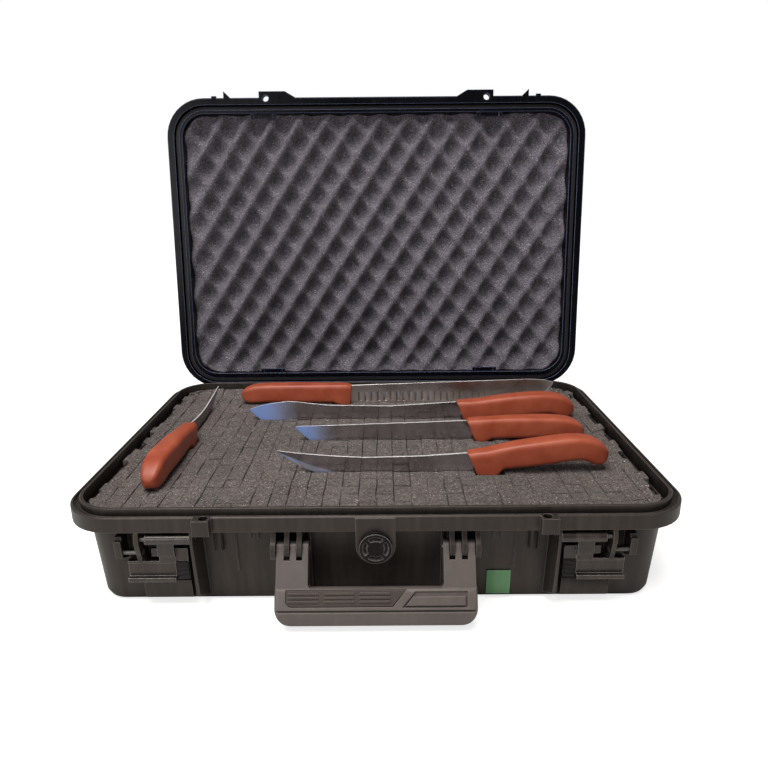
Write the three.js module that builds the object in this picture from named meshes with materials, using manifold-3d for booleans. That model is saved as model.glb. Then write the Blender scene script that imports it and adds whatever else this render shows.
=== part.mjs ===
// Hard case for chef knives: a moulded tub and lid with foam, two latches, a folding handle,
// a pressure valve and five knives standing in slits. Millimetres, +Z up. The origin is the centre of
// the underside, X runs to the right and Y to the back. The lid is open, latches and handle hang down.
import * as THREE from 'three';
import { mergeVertices } from 'three/addons/utils/BufferGeometryUtils.js';
import Module from 'manifold-3d';

const wasm = await Module();
wasm.setup();

// Tub
const rimWidth = 502;
const rimDepth = 350;
const rimHeight = 89;
const rimCorner = 43.5;
const rimLand = 7;
const rimChannel = { from: 2.2, depth: 2.6 };
const tongueWidth = 3;
const tongueHeight = 4;
const skirtHeight = 13;
const skirtLip = 3;
const skirtTop = 5;
const skirtGap = 3;
const ledgeThickness = 3;
const wallSetback = 16;
const wallSideShift = 3.5;
const wallDraft = 5.7;
const wall = 3.5;
const floorThickness = 4;
const tubBottomRadius = 6;
const edgeChamfer = 0.8;
const cornerSteps = { seen: 10, hidden: 5 };

// Lid
const lidOverhang = 2;
const rimGap = 0.3;
const lidDepth = 50;
const lidFlange = 16.2;
const lidSetback = 13;
const lidDraft = 3;
const lidTopRadius = 12;
const lidPanelHeight = 2;
const lidPanelMargin = 46;
const lidPanelRibs = 5;
const lidPanelRibWidth = 9;
const grooveWidth = 5;
const grooveDepth = 8;
const grooveLipRelief = 4;
const gasketHeight = 3;
const gasketClearance = 0.4;

// Hinges and the lid's opening
const lidOpenDegrees = 96.5;
const hingeBehind = 1;
const hingeBelow = 6.5;
const hingeSpacing = 270;
const hingeWidth = 70;
const hingeMiddle = 24;
const knuckleRadius = 4.5;
const hingePinRadius = 2;
const hingeArm = 19.5;
const sideClearance = 0.5;
const pinClearance = 0.35;

// Padlock eyes
const eyeCentre = 132.5;
const eyeSetback = 1.2;
const eyeHoleRadius = 3.75;
const eyeReach = 6.5;
const eyeHalfWidth = 6.75;
const eyeOffset = 1.7;
const lidTabHeight = 8;
const lidTabReach = 7;
const lidTabFrom = 97;
const lidTabSlope = 12;
const lidTabTo = 140.5;
const lidFin = { from: 9.8, width: 8, reach: 7.6, height: 2 };
const lidBump = { from: 26.4, width: 6, reach: 2 };

// Latches, which hang from a pin just under the skirt
const latchPivotReach = 3.5;
const latchPivotBelow = 7.5;
const latchAt = rimWidth / 2 - 86;
const barrelRadius = 4.5;
const latchPinRadius = 1.8;
const barrelInner = latchAt - 19.6;
const barrelOuter = latchAt + 15.4;
const stemInner = latchAt - 4.2;
const stemOuter = latchAt + 9.2;
const barOuter = latchAt + 34.9;
const padInner = latchAt - 13.8;
const barInner = latchAt - 3.4;
const latchDrops = { shoulderTop: 13, shoulderBottom: 20, barTop: 23.5, barBottom: 41 };
const barEdge = 2;
const barSink = 0.8;
const latchPlateGap = 0.5;
const stemRaise = 2.1;
const latchPlate = 5;
const shoulderSink = 1.6;
const lipReach = 3;
const lipGap = 0.4;
const thumbPadThickness = 1.6;
const thumbPadRibs = 4;

// Latch surroundings on the tub
const edgeRib = { root: latchAt - 26.5, front: latchAt - 22, outer: latchAt - 20.2 };
const edgeRibFoot = { reach: 3, front: 16.8, back: 5 };
const innerRib = [latchAt + 20, latchAt + 23.5];
const outerEar = [latchAt + 35.6, latchAt + 41];
const earReach = 2;
const strapPinRadius = 1.6;
const strapPinDrop = 34;
const strapPinSink = 6.5;
const footBlock = [latchAt - 14, latchAt + 25];
const footBlockReach = 8;
const footBlockGap = 2;
const footBlockBottom = 7.5;

// Front wall details
const wallBoss = { centre: 126.5, radius: 4, drop: 24 };
const fullRibs = [113];
const shortRibs = [95, 101];
const ribWidth = 1.6;
const ribReach = 1.6;
const shortRibDrop = 15;
const panelHalfWidth = 53;
const panelDepth = 2;
const panelFoot = 10;
const label = { left: 91, width: 20, foot: 5, height: 23.5, thickness: 0.8 };

// Pressure valve
const valveHeight = 63.5;
const valveColumnHalfWidth = 15.5;
const valveColumnReach = 1.3;
const valveColumnTopGap = 1;
const valveBore = 8;
const valveRecess = 2.8;
const valveFlangeRadius = 12.4;
const valveSealThickness = 0.8;
const valveCapRadius = 13;
const valveCapThickness = 3.6;
const valveGap = 0.3;
const valveSlots = { count: 4, inner: 7, outer: 10, spoke: 3.4, depth: 1.8 };
const valveNutRadius = 12;
const valveNutThickness = 4;

// Handle
const handlePivotSink = 7;
const handlePivotHeight = 58.3;
const handleLean = 28;
const handleReach = 59.2;
const handleLegInner = 53.1;
const handleLegOuter = 78.1;
const handleLegThickness = 12;
const fingerRadius = 6.2;
const forkSlots = [[57.6, 62.4], [67.4, 72.2]];
const forkDepth = 9.8;
const forkClearance = 0.4;
const lugRadius = 8.8;
const outerLugWidth = 4;
const gripHalfWidth = 79;
const gripHeight = 28.8;
const gripThickness = 16;
const gripCorner = 13;
const gripBevel = 4;
const gripGusset = 2;
const gripChamfer = { height: 9.5, depth: 5 };
const gripLine = { gap: 1, width: 1.5, depth: 1.6 };
const handlePinRadius = 2;
const inlay = { left: -70, right: 24, slant: 11, top: 1.4, height: 13, corner: 5, sink: 1.4, raise: 0.5 };
const inlayPads = { count: 3, gap: 4, rows: 3, rowHeight: 1.7, rowPitch: 3, top: 2.2 };
const inlayGap = 0.5;
const gripSlot = { left: 30.5, right: 71, slant: 10.5, top: 3, height: 12, depth: 1.6 };
const slotIsland = { side: 1.8, top: 3.8, bottom: 1.5 };

// Foam
const foamDrop = 8;
const foamFloorPad = 20;
const foamGap = 0.7;
const lidFoamPeakDepth = 9;
const eggCrateHeight = 22;
const eggCratePitch = { across: 34, along: 44.5 };
const eggCrateTurn = 4;
const foamClip = { centre: 137, width: 31, reach: 5, thickness: 2, rise: 1.2, end: 4 };
const slitClearance = 0.4;

// Knives: places on the foam, and outlines with x from the handle's front and z over the foam. A handle's
// top and bottom points go in pairs from its front to its butt.
const knives = [
  {
    name: 'slicing_knife', at: [-32, 124.2], turn: 0, length: 242, blade: 2.2,
    spine: [[0, 20.9], [82, 23.2], [209, 26.8], [229, 26.4], [242, 22.8]],
    edge: [[0, -14], [120, -14], [200, -11], [226, -3], [242, 20.5]],
    handle: {
      width: 18,
      top: [[0, 21], [-5, 22.8], [-14, 23.1], [-26, 23.1], [-44, 23.3], [-66, 23.5], [-88, 23.6],
        [-106, 23.3], [-120, 22], [-130, 17], [-133, 11.5]],
      bottom: [[-2, -3], [-4, -5], [-13, -5], [-22, 0.2], [-44, 0.6], [-66, 0.7], [-88, 1.2],
        [-104, 1.8], [-118, 0.2], [-128, 1.2], [-132.5, 6.5]],
    },
  },
  {
    name: 'butcher_knife', at: [88, 66.5], turn: 180, length: 231, blade: 2.4,
    spine: [[0, 18.6], [74, 14.2], [145, 15.7], [187, 20.7], [217, 16.8], [231, 11.6]],
    edge: [[0, -18], [150, -20], [200, -17], [222, 0], [231, 9.4]],
    handle: {
      width: 20,
      top: [[0, 19.4], [-5, 20], [-14, 20.6], [-26, 21.5], [-44, 24.3], [-64, 27], [-88, 28.8],
        [-103, 28.6], [-118, 26], [-128, 19], [-131.5, 12.5]],
      bottom: [[-9, -4], [-12, -6], [-22, -6], [-30, 0.8], [-44, 1.8], [-64, 2.2], [-88, 4.2],
        [-105, 7], [-115, 1.4], [-125, 0.8], [-131, 6]],
    },
  },
  {
    name: 'trimming_knife', at: [92, 4.6], turn: 180, length: 176, blade: 2,
    spine: [[0, 19.4], [48, 17.8], [120, 15.6], [176, 14]],
    edge: [[0, -12], [110, -12], [150, -10], [164, 0], [176, 12]],
    handle: {
      width: 19,
      top: [[0, 20], [-4, 21.2], [-15, 22], [-26, 22.6], [-42, 23.4], [-60, 23.9], [-82, 23.8],
        [-98, 23], [-110, 20.4], [-118.5, 14], [-121, 9]],
      bottom: [[-9, -3], [-11, -5], [-18, -5], [-25, 0.2], [-42, 1.2], [-60, 1.5], [-82, 2.2],
        [-96, 3.6], [-107, 2.6], [-117, 1.2], [-120.6, 4.6]],
    },
  },
  {
    name: 'boning_knife', at: [83, -73.6], turn: 180, length: 174, blade: 2.2,
    spine: [[0, 17], [42, 14.2], [94, 13.1], [127, 15.2], [156, 17.9], [174, 20.4]],
    edge: [[0, -13], [100, -13], [144, 0], [157, 7.9], [174, 18.6]],
    handle: {
      width: 20,
      top: [[0, 17.8], [-5, 18.8], [-18, 20.8], [-31, 23.8], [-46, 27], [-67, 30.2], [-86, 32.7],
        [-98, 33.5], [-112, 32.4], [-123, 26.5], [-129, 18]],
      bottom: [[-10.5, -6], [-13, -8], [-25, -8], [-33, 2.4], [-48, 4.2], [-68, 6.4], [-90, 10.2],
        [-105, 12.2], [-113, 7.2], [-122, 5], [-128.6, 10.5]],
    },
  },
  {
    name: 'curved_knife', at: [-195, 13], turn: 90, length: 122, blade: 2,
    spine: [[0, 15], [30, 12], [60, 11.5], [95, 14.5], [122, 17.5]],
    edge: [[0, -12], [60, -12], [90, 2], [108, 9.5], [122, 15.9]],
    handle: {
      width: 21,
      top: [[0, 16.4], [-5, 17.4], [-18, 18.8], [-31, 20.4], [-47, 22.4], [-69, 24.2], [-88, 25.8],
        [-101, 26.2], [-114, 24.8], [-125, 19.5], [-131, 12.5]],
      bottom: [[-9, -5], [-12, -7], [-22, -7], [-31, 1], [-48, 1.8], [-69, 2.4], [-90, 3.4],
        [-103, 4], [-114, 1.6], [-124, 0.8], [-130.6, 5.5]],
    },
  },
];
const knifeGap = 0.3;
const tang = { length: 70, height: 9, below: 7 };
const scallops = { pitch: 7.6, radius: 5.5, from: 6, count: 27, high: 12.7, low: 1.2, depth: 0.7 };
const handleSides = 12;
const handleWidths = [0.68, 0.76, 0.84, 0.88, 0.94, 1, 1, 0.98, 0.93, 0.78, 0.46];
const bladeSteps = 22;
const bladeEdge = { height: 6, share: 0.4, half: 0.2, taper: 0.55 };

// Places that follow from these sizes
const openAngle = THREE.MathUtils.degToRad(lidOpenDegrees);
const skirtBottom = rimHeight - skirtHeight;
const frontEdge = -rimDepth / 2;
const rearEdge = rimDepth / 2;
const foamTop = rimHeight - foamDrop;
const lidWidth = rimWidth + 2 * lidOverhang;
const lidLength = rimDepth + lidOverhang;
const lidCentre = -lidOverhang / 2;
const lidFront = frontEdge - lidOverhang;
const lidBase = rimHeight + rimGap;
const lidTop = lidBase + lidDepth;
const flangeTop = lidBase + lidFlange;
const lidPeaks = lidBase + lidFoamPeakDepth;
const hingePivot = [rearEdge + hingeBehind, rimHeight - hingeBelow];
const latchPivot = [frontEdge + latchPivotReach, skirtBottom - latchPivotBelow];
const shoulderTop = latchPivot[1] - latchDrops.shoulderTop;
const shoulderBottom = latchPivot[1] - latchDrops.shoulderBottom;
const barTop = latchPivot[1] - latchDrops.barTop;
const barBottom = latchPivot[1] - latchDrops.barBottom;
const footBlockTop = barBottom - footBlockGap;
const handlePivot = [frontEdge + handlePivotSink, handlePivotHeight];
const tongueInset = rimLand + tongueWidth;
const grooveCentre = rimLand + tongueWidth / 2;
const lidInnerInset = lidSetback + wall;

// The tub's outer wall leans in towards the floor
const wallInset = (z) => wallSetback + wallDraft * (skirtBottom - z) / skirtBottom;
const wallFront = (z) => frontEdge + wallInset(z);
const insideWall = (z) => wallFront(z) + wall / 2;
// A latch that is shut is its hanging self turned half round its pin
const shutY = (y) => 2 * latchPivot[0] - y;
const shutZ = (z) => 2 * latchPivot[1] - z;
const latchFront = shutY(lidFront - latchPlateGap);
const lipTop = shutZ(flangeTop + lipGap);

const colours = {
  plastic: { color: 0x3c3936, roughness: 0.62, metalness: 0 },
  lidPlastic: { color: 0x17181c, roughness: 0.5, metalness: 0 },
  handlePlastic: { color: 0x5a5550, roughness: 0.6, metalness: 0 },
  rubber: { color: 0x55585f, roughness: 0.75, metalness: 0 },
  foam: { color: 0x5c5752, roughness: 1, metalness: 0 },
  darkFoam: { color: 0x4a474b, roughness: 1, metalness: 0 },
  steel: { color: 0x9a9a98, roughness: 0.35, metalness: 1 },
  blade: { color: 0xa8acb0, roughness: 0.25, metalness: 1 },
  grip: { color: 0xb05a40, roughness: 0.55, metalness: 0 },
  green: { color: 0x3f6b4c, roughness: 0.5, metalness: 0 },
};

// Solids
function solid(geometry) {
  geometry.deleteAttribute('normal');
  geometry.deleteAttribute('uv');
  const merged = mergeVertices(geometry, 1e-4);
  const vertProperties = new Float32Array(merged.attributes.position.array);
  const triVerts = new Uint32Array(merged.index.array);
  return new wasm.Manifold(new wasm.Mesh({ numProp: 3, vertProperties, triVerts }));
}

const middle = ([low, high]) => (low + high) / 2;
const span = ([low, high]) => high - low;
const sided = (side, [inner, outer]) => (side < 0 ? [-outer, -inner] : [inner, outer]);

function block(x, y, z) {
  const geometry = new THREE.BoxGeometry(span(x), span(y), span(z));
  geometry.translate(middle(x), middle(y), middle(z));
  return solid(geometry);
}

function rod(axis, radius, along, [a, b], sides = 20) {
  const geometry = new THREE.CylinderGeometry(radius, radius, span(along), sides);
  if (axis === 'x') geometry.rotateZ(-Math.PI / 2).translate(middle(along), a, b);
  if (axis === 'y') geometry.translate(a, middle(along), b);
  if (axis === 'z') geometry.rotateX(Math.PI / 2).translate(a, b, middle(along));
  return solid(geometry);
}

function outline(points) {
  return new THREE.Shape(points.map(([a, b]) => new THREE.Vector2(a, b)));
}

// A plate with its outline in Y and Z, standing across X
function plateX(points, x) {
  const geometry = new THREE.ExtrudeGeometry(outline(points), { depth: span(x), bevelEnabled: false });
  const turn = new THREE.Matrix4().makeBasis(
    new THREE.Vector3(0, 1, 0), new THREE.Vector3(0, 0, 1), new THREE.Vector3(1, 0, 0));
  geometry.applyMatrix4(turn).translate(x[0], 0, 0);
  return solid(geometry);
}

// A plate with its outline in X and Z, lying across Y
function plateY(shape, y, bevel = 0) {
  const geometry = new THREE.ExtrudeGeometry(shape, {
    depth: span(y) - 2 * bevel,
    bevelEnabled: bevel > 0,
    bevelThickness: bevel,
    bevelSize: bevel,
    bevelOffset: -bevel,
    bevelSegments: 2,
    curveSegments: 5,
  });
  geometry.rotateX(Math.PI / 2).translate(0, y[1] - bevel, 0);
  return solid(geometry);
}

// A plate with its outline in X and Y, lying flat
function plateZ(points, z) {
  const geometry = new THREE.ExtrudeGeometry(outline(points), { depth: span(z), bevelEnabled: false });
  geometry.translate(0, 0, z[0]);
  return solid(geometry);
}

// One ring of a rectangle with round corners: width, length, corner radius, height and centre
function ring({ width, length, radius, z, centre = 0, steps = cornerSteps.hidden }) {
  const points = [];
  const corners = [[1, 1], [-1, 1], [-1, -1], [1, -1]];
  corners.forEach(([sx, sy], corner) => {
    for (let k = 0; k <= steps; k += 1) {
      const angle = (corner + k / steps) * Math.PI / 2;
      points.push([
        sx * (width / 2 - radius) + radius * Math.cos(angle),
        centre + sy * (length / 2 - radius) + radius * Math.sin(angle),
        z,
      ]);
    }
  });
  return points;
}

// A closed body through rings that all have as many points
function stack(rings) {
  const count = rings[0].length;
  const points = rings.flat();
  const faces = [];
  for (let level = 0; level + 1 < rings.length; level += 1) {
    for (let k = 0; k < count; k += 1) {
      const a = level * count + k;
      const b = level * count + (k + 1) % count;
      faces.push(a, b, b + count, a, b + count, a + count);
    }
  }
  const last = (rings.length - 1) * count;
  for (let k = 1; k + 1 < count; k += 1) {
    faces.push(0, k + 1, k, last, last + k, last + k + 1);
  }
  const geometry = new THREE.BufferGeometry();
  geometry.setAttribute('position', new THREE.Float32BufferAttribute(points.flat(), 3));
  geometry.setIndex(faces);
  return solid(geometry);
}

// Bodies through rings that stand in from the tub's rim or the lid's edge, each level an inset and a height.
// The walls under the rim stand a little further out at the sides than at the front.
const rimStack = (levels, steps = cornerSteps.hidden) => stack(levels.map(([inset, z]) => ring({
  width: rimWidth - 2 * inset,
  length: rimDepth - 2 * inset,
  radius: Math.max(rimCorner - inset, 3),
  z,
  steps,
})));
const wallStack = (levels, steps = cornerSteps.hidden) => stack(levels.map(([inset, z]) => ring({
  width: rimWidth - 2 * (inset - wallSideShift),
  length: rimDepth - 2 * inset,
  radius: Math.max(rimCorner - inset, 3),
  z,
  steps,
})));
const lidStack = (levels, steps = cornerSteps.hidden) => stack(levels.map(([inset, z]) => ring({
  width: lidWidth - 2 * inset,
  length: lidLength - 2 * inset,
  radius: Math.max(rimCorner + lidOverhang - inset, 3),
  z,
  centre: lidCentre,
  steps,
})));

const join = (pieces) => pieces.reduce((whole, piece) => whole.add(piece));
const cut = (whole, pieces) => pieces.reduce((left, piece) => left.subtract(piece), whole);

function named(name, body, colour) {
  const { vertProperties, triVerts } = body.getMesh();
  const geometry = new THREE.BufferGeometry();
  geometry.setAttribute('position', new THREE.BufferAttribute(vertProperties, 3));
  geometry.setIndex(new THREE.BufferAttribute(triVerts, 1));
  geometry.computeVertexNormals();
  const mesh = new THREE.Mesh(geometry, new THREE.MeshStandardMaterial(colour));
  mesh.name = name;
  return mesh;
}

const sideName = (side) => (side < 0 ? 'left' : 'right');
const bothSides = [-1, 1];

// Tub
function tubWalls() {
  const bottomInset = wallInset(0);
  const outside = wallStack([
    [bottomInset + tubBottomRadius, 0],
    [bottomInset + tubBottomRadius * 0.3, tubBottomRadius * 0.3],
    [wallInset(tubBottomRadius), tubBottomRadius],
    [wallSetback, skirtBottom + 1],
  ], cornerSteps.seen);
  const rim = rimStack([[0, skirtBottom], [0, rimHeight - edgeChamfer], [edgeChamfer, rimHeight]], cornerSteps.seen);
  const tongueTop = rimHeight + tongueHeight;
  const tongue = rimStack([
    [rimLand, rimHeight - 1], [rimLand, tongueTop - edgeChamfer], [rimLand + edgeChamfer, tongueTop],
  ], cornerSteps.seen);
  const hollowTop = rimHeight - skirtTop;
  const hollowBack = tongueInset - skirtGap;
  const hollow = rimStack([[skirtLip, skirtBottom - 1], [skirtLip, hollowTop]], cornerSteps.seen)
    .subtract(rimStack([[hollowBack, skirtBottom - 2], [hollowBack, hollowTop + 1]]));
  // An open channel runs between the rim's edge and the tongue
  const channelFloor = rimHeight - rimChannel.depth;
  const channel = rimStack([[rimChannel.from, channelFloor], [rimChannel.from, rimHeight + 1]], cornerSteps.seen)
    .subtract(rimStack([[rimLand, channelFloor - 1], [rimLand, rimHeight + 2]], cornerSteps.seen));
  return cut(join([outside, rim, tongue]), [hollow, channel]);
}

function tubRoom() {
  const ledge = skirtBottom + ledgeThickness;
  const lowerRoom = wallStack([
    [wallInset(floorThickness) + wall + 3, floorThickness],
    [wallInset(floorThickness + 4) + wall, floorThickness + 4],
    [wallSetback + wall, ledge + 1],
  ]);
  const upperRoom = [[tongueInset, ledge], [tongueInset, rimHeight + tongueHeight + 1]];
  return lowerRoom.add(rimStack(upperRoom, cornerSteps.seen));
}

function latchRibs(side) {
  const [pivotY, pivotZ] = latchPivot;
  const front = pivotY - barrelRadius - 0.2;
  const back = insideWall(skirtBottom);
  const rootZ = shoulderBottom - 4;
  const held = [
    [back, skirtBottom + 1], [frontEdge + 1, skirtBottom + 1], [front, pivotZ + 3], [front, pivotZ - 3],
    [pivotY - 0.3, shoulderBottom], [insideWall(rootZ), rootZ],
  ];
  const full = [
    [back, skirtBottom + 1], [frontEdge + 1, skirtBottom + 1], [front, pivotZ + 3], [front, pivotZ - 4],
    [frontEdge + edgeRibFoot.reach, edgeRibFoot.front], [insideWall(edgeRibFoot.back), edgeRibFoot.back],
  ];
  const slanted = [
    [side * edgeRib.root, insideWall(edgeRibFoot.back)], [side * edgeRib.front, front - 1],
    [side * edgeRib.outer, front - 1], [side * edgeRib.outer, insideWall(edgeRibFoot.back)],
  ];
  const earFoot = rootZ - 1;
  const ear = [
    [insideWall(pivotZ), pivotZ + 1], [frontEdge + earReach, pivotZ + 1],
    [frontEdge + earReach + 1.5, shoulderBottom + 3], [insideWall(earFoot), earFoot],
  ];
  const foot = [
    [insideWall(footBlockTop), footBlockTop], [wallFront(footBlockTop) - footBlockReach, footBlockTop],
    [wallFront(footBlockBottom) - footBlockReach, footBlockBottom + 2],
    [wallFront(footBlockBottom) - footBlockReach + 2, footBlockBottom],
    [insideWall(footBlockBottom), footBlockBottom],
  ];
  const strapZ = rimHeight - strapPinDrop;
  const webTop = strapZ - 4;
  const webFront = Math.max(wallFront(rootZ) - 4, latchFront + latchPlate + latchPlateGap);
  const web = [
    [insideWall(webTop), webTop], [wallFront(webTop) - 2, webTop], [webFront, rootZ], [insideWall(rootZ), rootZ],
  ];
  const pinHole = rod('x', latchPinRadius + pinClearance, [-rimWidth, rimWidth], latchPivot);
  const strapHole = rod('x', strapPinRadius + pinClearance, sided(side, [innerRib[0] - 1, outerEar[0] + 2]),
    [frontEdge + strapPinSink, strapZ]);
  const ribs = [
    plateX(full, sided(side, [edgeRib.root, edgeRib.outer])).intersect(plateZ(slanted, [0, rimHeight])),
    plateX(held, sided(side, innerRib)), plateX(ear, sided(side, outerEar)),
    plateX(foot, sided(side, footBlock)), plateX(web, sided(side, [innerRib[1] - 0.5, outerEar[0] + 0.5])),
  ];
  return cut(join(ribs), [pinHole, strapHole]);
}

// The lug stays inside the circle that the fork's root sweeps as the handle swings
function handleLug(x, radius) {
  const [pivotY, pivotZ] = handlePivot;
  const points = [[insideWall(skirtBottom), skirtBottom + 1], [pivotY - 2, skirtBottom + 1], [pivotY - 2, pivotZ + 11]];
  for (let degrees = 135; degrees <= 270; degrees += 22.5) {
    const angle = THREE.MathUtils.degToRad(degrees);
    points.push([pivotY + radius * Math.cos(angle), pivotZ + radius * Math.sin(angle)]);
  }
  const foot = pivotZ - radius - 3;
  points.push([insideWall(foot), foot]);
  return plateX(points, x);
}

function frontDetails(side) {
  const eyeY = [frontEdge - eyeReach, frontEdge + skirtLip];
  const eyeX = sided(side, [eyeCentre + eyeOffset - eyeHalfWidth, eyeCentre + eyeOffset + eyeHalfWidth]);
  const [pivotY] = handlePivot;
  const lugs = forkSlots.map(([low, high]) => handleLug(
    sided(side, [low + forkClearance, high - forkClearance]), lugRadius));
  const outerLug = sided(side, [handleLegOuter + forkClearance, handleLegOuter + forkClearance + outerLugWidth]);
  const ribPlate = (x, foot) => plateX([
    [insideWall(skirtBottom), skirtBottom + 1], [wallFront(skirtBottom) - ribReach, skirtBottom + 1],
    [wallFront(foot) - ribReach, foot], [insideWall(foot), foot],
  ], sided(side, [x - ribWidth / 2, x + ribWidth / 2]));
  const boss = rod('z', wallBoss.radius, [skirtBottom - wallBoss.drop, skirtBottom + 1],
    [side * wallBoss.centre, wallFront(skirtBottom)], 12);
  const roomBehindBoss = block([-rimWidth, rimWidth], [insideWall(skirtBottom - wallBoss.drop), pivotY + 40],
    [0, skirtBottom]);
  return join([
    block(eyeX, eyeY, [skirtBottom, rimHeight]),
    ...lugs,
    handleLug(outerLug, lugRadius + 1),
    ...fullRibs.map((x) => ribPlate(x, label.foot + label.height + 2)),
    ...shortRibs.map((x) => ribPlate(x, skirtBottom - shortRibDrop)),
    boss.subtract(roomBehindBoss),
    latchRibs(side),
  ]);
}

function hingeRange(side, part) {
  const centre = side * hingeSpacing / 2;
  const half = { middle: hingeMiddle / 2, outer: hingeWidth / 2 };
  if (part === 'middle') return [[centre - half.middle, centre + half.middle]];
  return [[centre - half.outer, centre - half.middle - sideClearance],
    [centre + half.middle + sideClearance, centre + half.outer]];
}

function tub() {
  const [hingeY, hingeZ] = hingePivot;
  const hingeParts = bothSides.flatMap((side) => hingeRange(side, 'outer').flatMap((x) => [
    rod('x', knuckleRadius, x, hingePivot),
    block(x, [rearEdge - 1, hingeY], [hingeZ - knuckleRadius, hingeZ + knuckleRadius]),
  ]));
  const columnX = [-valveColumnHalfWidth, valveColumnHalfWidth];
  const column = [
    block(columnX, [frontEdge - valveColumnReach, insideWall(skirtBottom)], [valveHeight, skirtBottom + 1]),
    block(columnX, [frontEdge - valveColumnReach, frontEdge + skirtLip], [skirtBottom, rimHeight - valveColumnTopGap]),
    rod('y', valveColumnHalfWidth, [frontEdge - valveColumnReach, insideWall(valveHeight - valveColumnHalfWidth)],
      [0, valveHeight], 28),
  ];
  const panel = plateX([
    [wallFront(skirtBottom) - 5, skirtBottom], [wallFront(skirtBottom) + panelDepth, skirtBottom],
    [wallFront(panelFoot) + panelDepth, panelFoot], [wallFront(panelFoot) - 5, panelFoot],
  ], [-panelHalfWidth, panelHalfWidth]);
  const holes = bothSides.flatMap((side) => [
    rod('z', eyeHoleRadius, [skirtBottom - 5, rimHeight + 5], [side * eyeCentre, frontEdge - eyeSetback], 24),
    rod('x', handlePinRadius + pinClearance,
      sided(side, [handleLegInner - 2, handleLegOuter + forkClearance + outerLugWidth + 1]), handlePivot),
    rod('x', hingePinRadius + pinClearance, sided(side, [0, rimWidth / 2]), hingePivot),
    ...hingeRange(side, 'middle').map(([low, high]) => block(
      [low - sideClearance, high + sideClearance],
      [hingeY - knuckleRadius - sideClearance, rearEdge + 20], [skirtBottom - 5, rimHeight + 5])),
  ]);
  const bore = rod('y', valveBore, [frontEdge - 10, wallFront(0) + 20], [0, valveHeight], 24)
    .add(rod('y', valveFlangeRadius + valveGap, [valveFace - 1, valveFace + valveRecess], [0, valveHeight], 24));
  const walls = tubWalls().subtract(panel);
  return cut(join([walls, ...column, ...hingeParts, ...bothSides.map(frontDetails)]), [...holes, bore, tubRoom()]);
}

// Lid, drawn shut and turned open by its group
function lidFrontDetails(side) {
  const holeAt = [side * eyeCentre, frontEdge - eyeSetback];
  const tab = plateZ([
    [side * lidTabFrom, lidFront + 3], [side * lidTabFrom, lidFront],
    [side * (lidTabFrom + lidTabSlope), lidFront - lidTabReach],
    [side * lidTabTo, lidFront - lidTabReach], [side * lidTabTo, lidFront + 3],
  ], [lidBase, lidBase + lidTabHeight]);
  const [finInner, finOuter] = [latchAt + lidFin.from, latchAt + lidFin.from + lidFin.width];
  const bumpX = [latchAt + lidBump.from, latchAt + lidBump.from + lidBump.width];
  const fin = plateZ([
    [side * finInner, lidFront + 2], [side * finInner, lidFront], [side * finOuter, lidFront - lidFin.reach],
    [side * finOuter, lidFront + 2],
  ], [lidBase, lidBase + lidFin.height]);
  const bump = block(sided(side, bumpX), [lidFront - lidBump.reach, lidFront + 2], [lidBase, lidBase + lidFin.height]);
  const hole = rod('z', eyeHoleRadius, [lidBase - 5, lidBase + lidTabHeight + 12], holeAt, 24);
  const relief = block(sided(side, [lidTabFrom, lidTabTo]), [lidFront - lidTabReach - 1, lidFront + 6],
    [lidBase + lidTabHeight, flangeTop + 1]);
  return { add: [tab, fin, bump], remove: [hole, relief] };
}

function lidPanel() {
  const half = { x: lidWidth / 2 - lidPanelMargin, y: lidLength / 2 - lidPanelMargin };
  const pitch = 2 * half.y / lidPanelRibs;
  const ribs = [];
  for (let k = 0; k < lidPanelRibs; k += 1) {
    const y = lidCentre - half.y + (k + 0.5) * pitch;
    ribs.push(stack([
      ring({ width: 2 * half.x, length: lidPanelRibWidth, radius: lidPanelRibWidth / 2.1, z: lidTop - 1, centre: y }),
      ring({
        width: 2 * half.x - 3, length: lidPanelRibWidth - 3, radius: (lidPanelRibWidth - 3) / 2.1,
        z: lidTop + lidPanelHeight, centre: y,
      }),
    ]));
  }
  return ribs;
}

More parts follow.
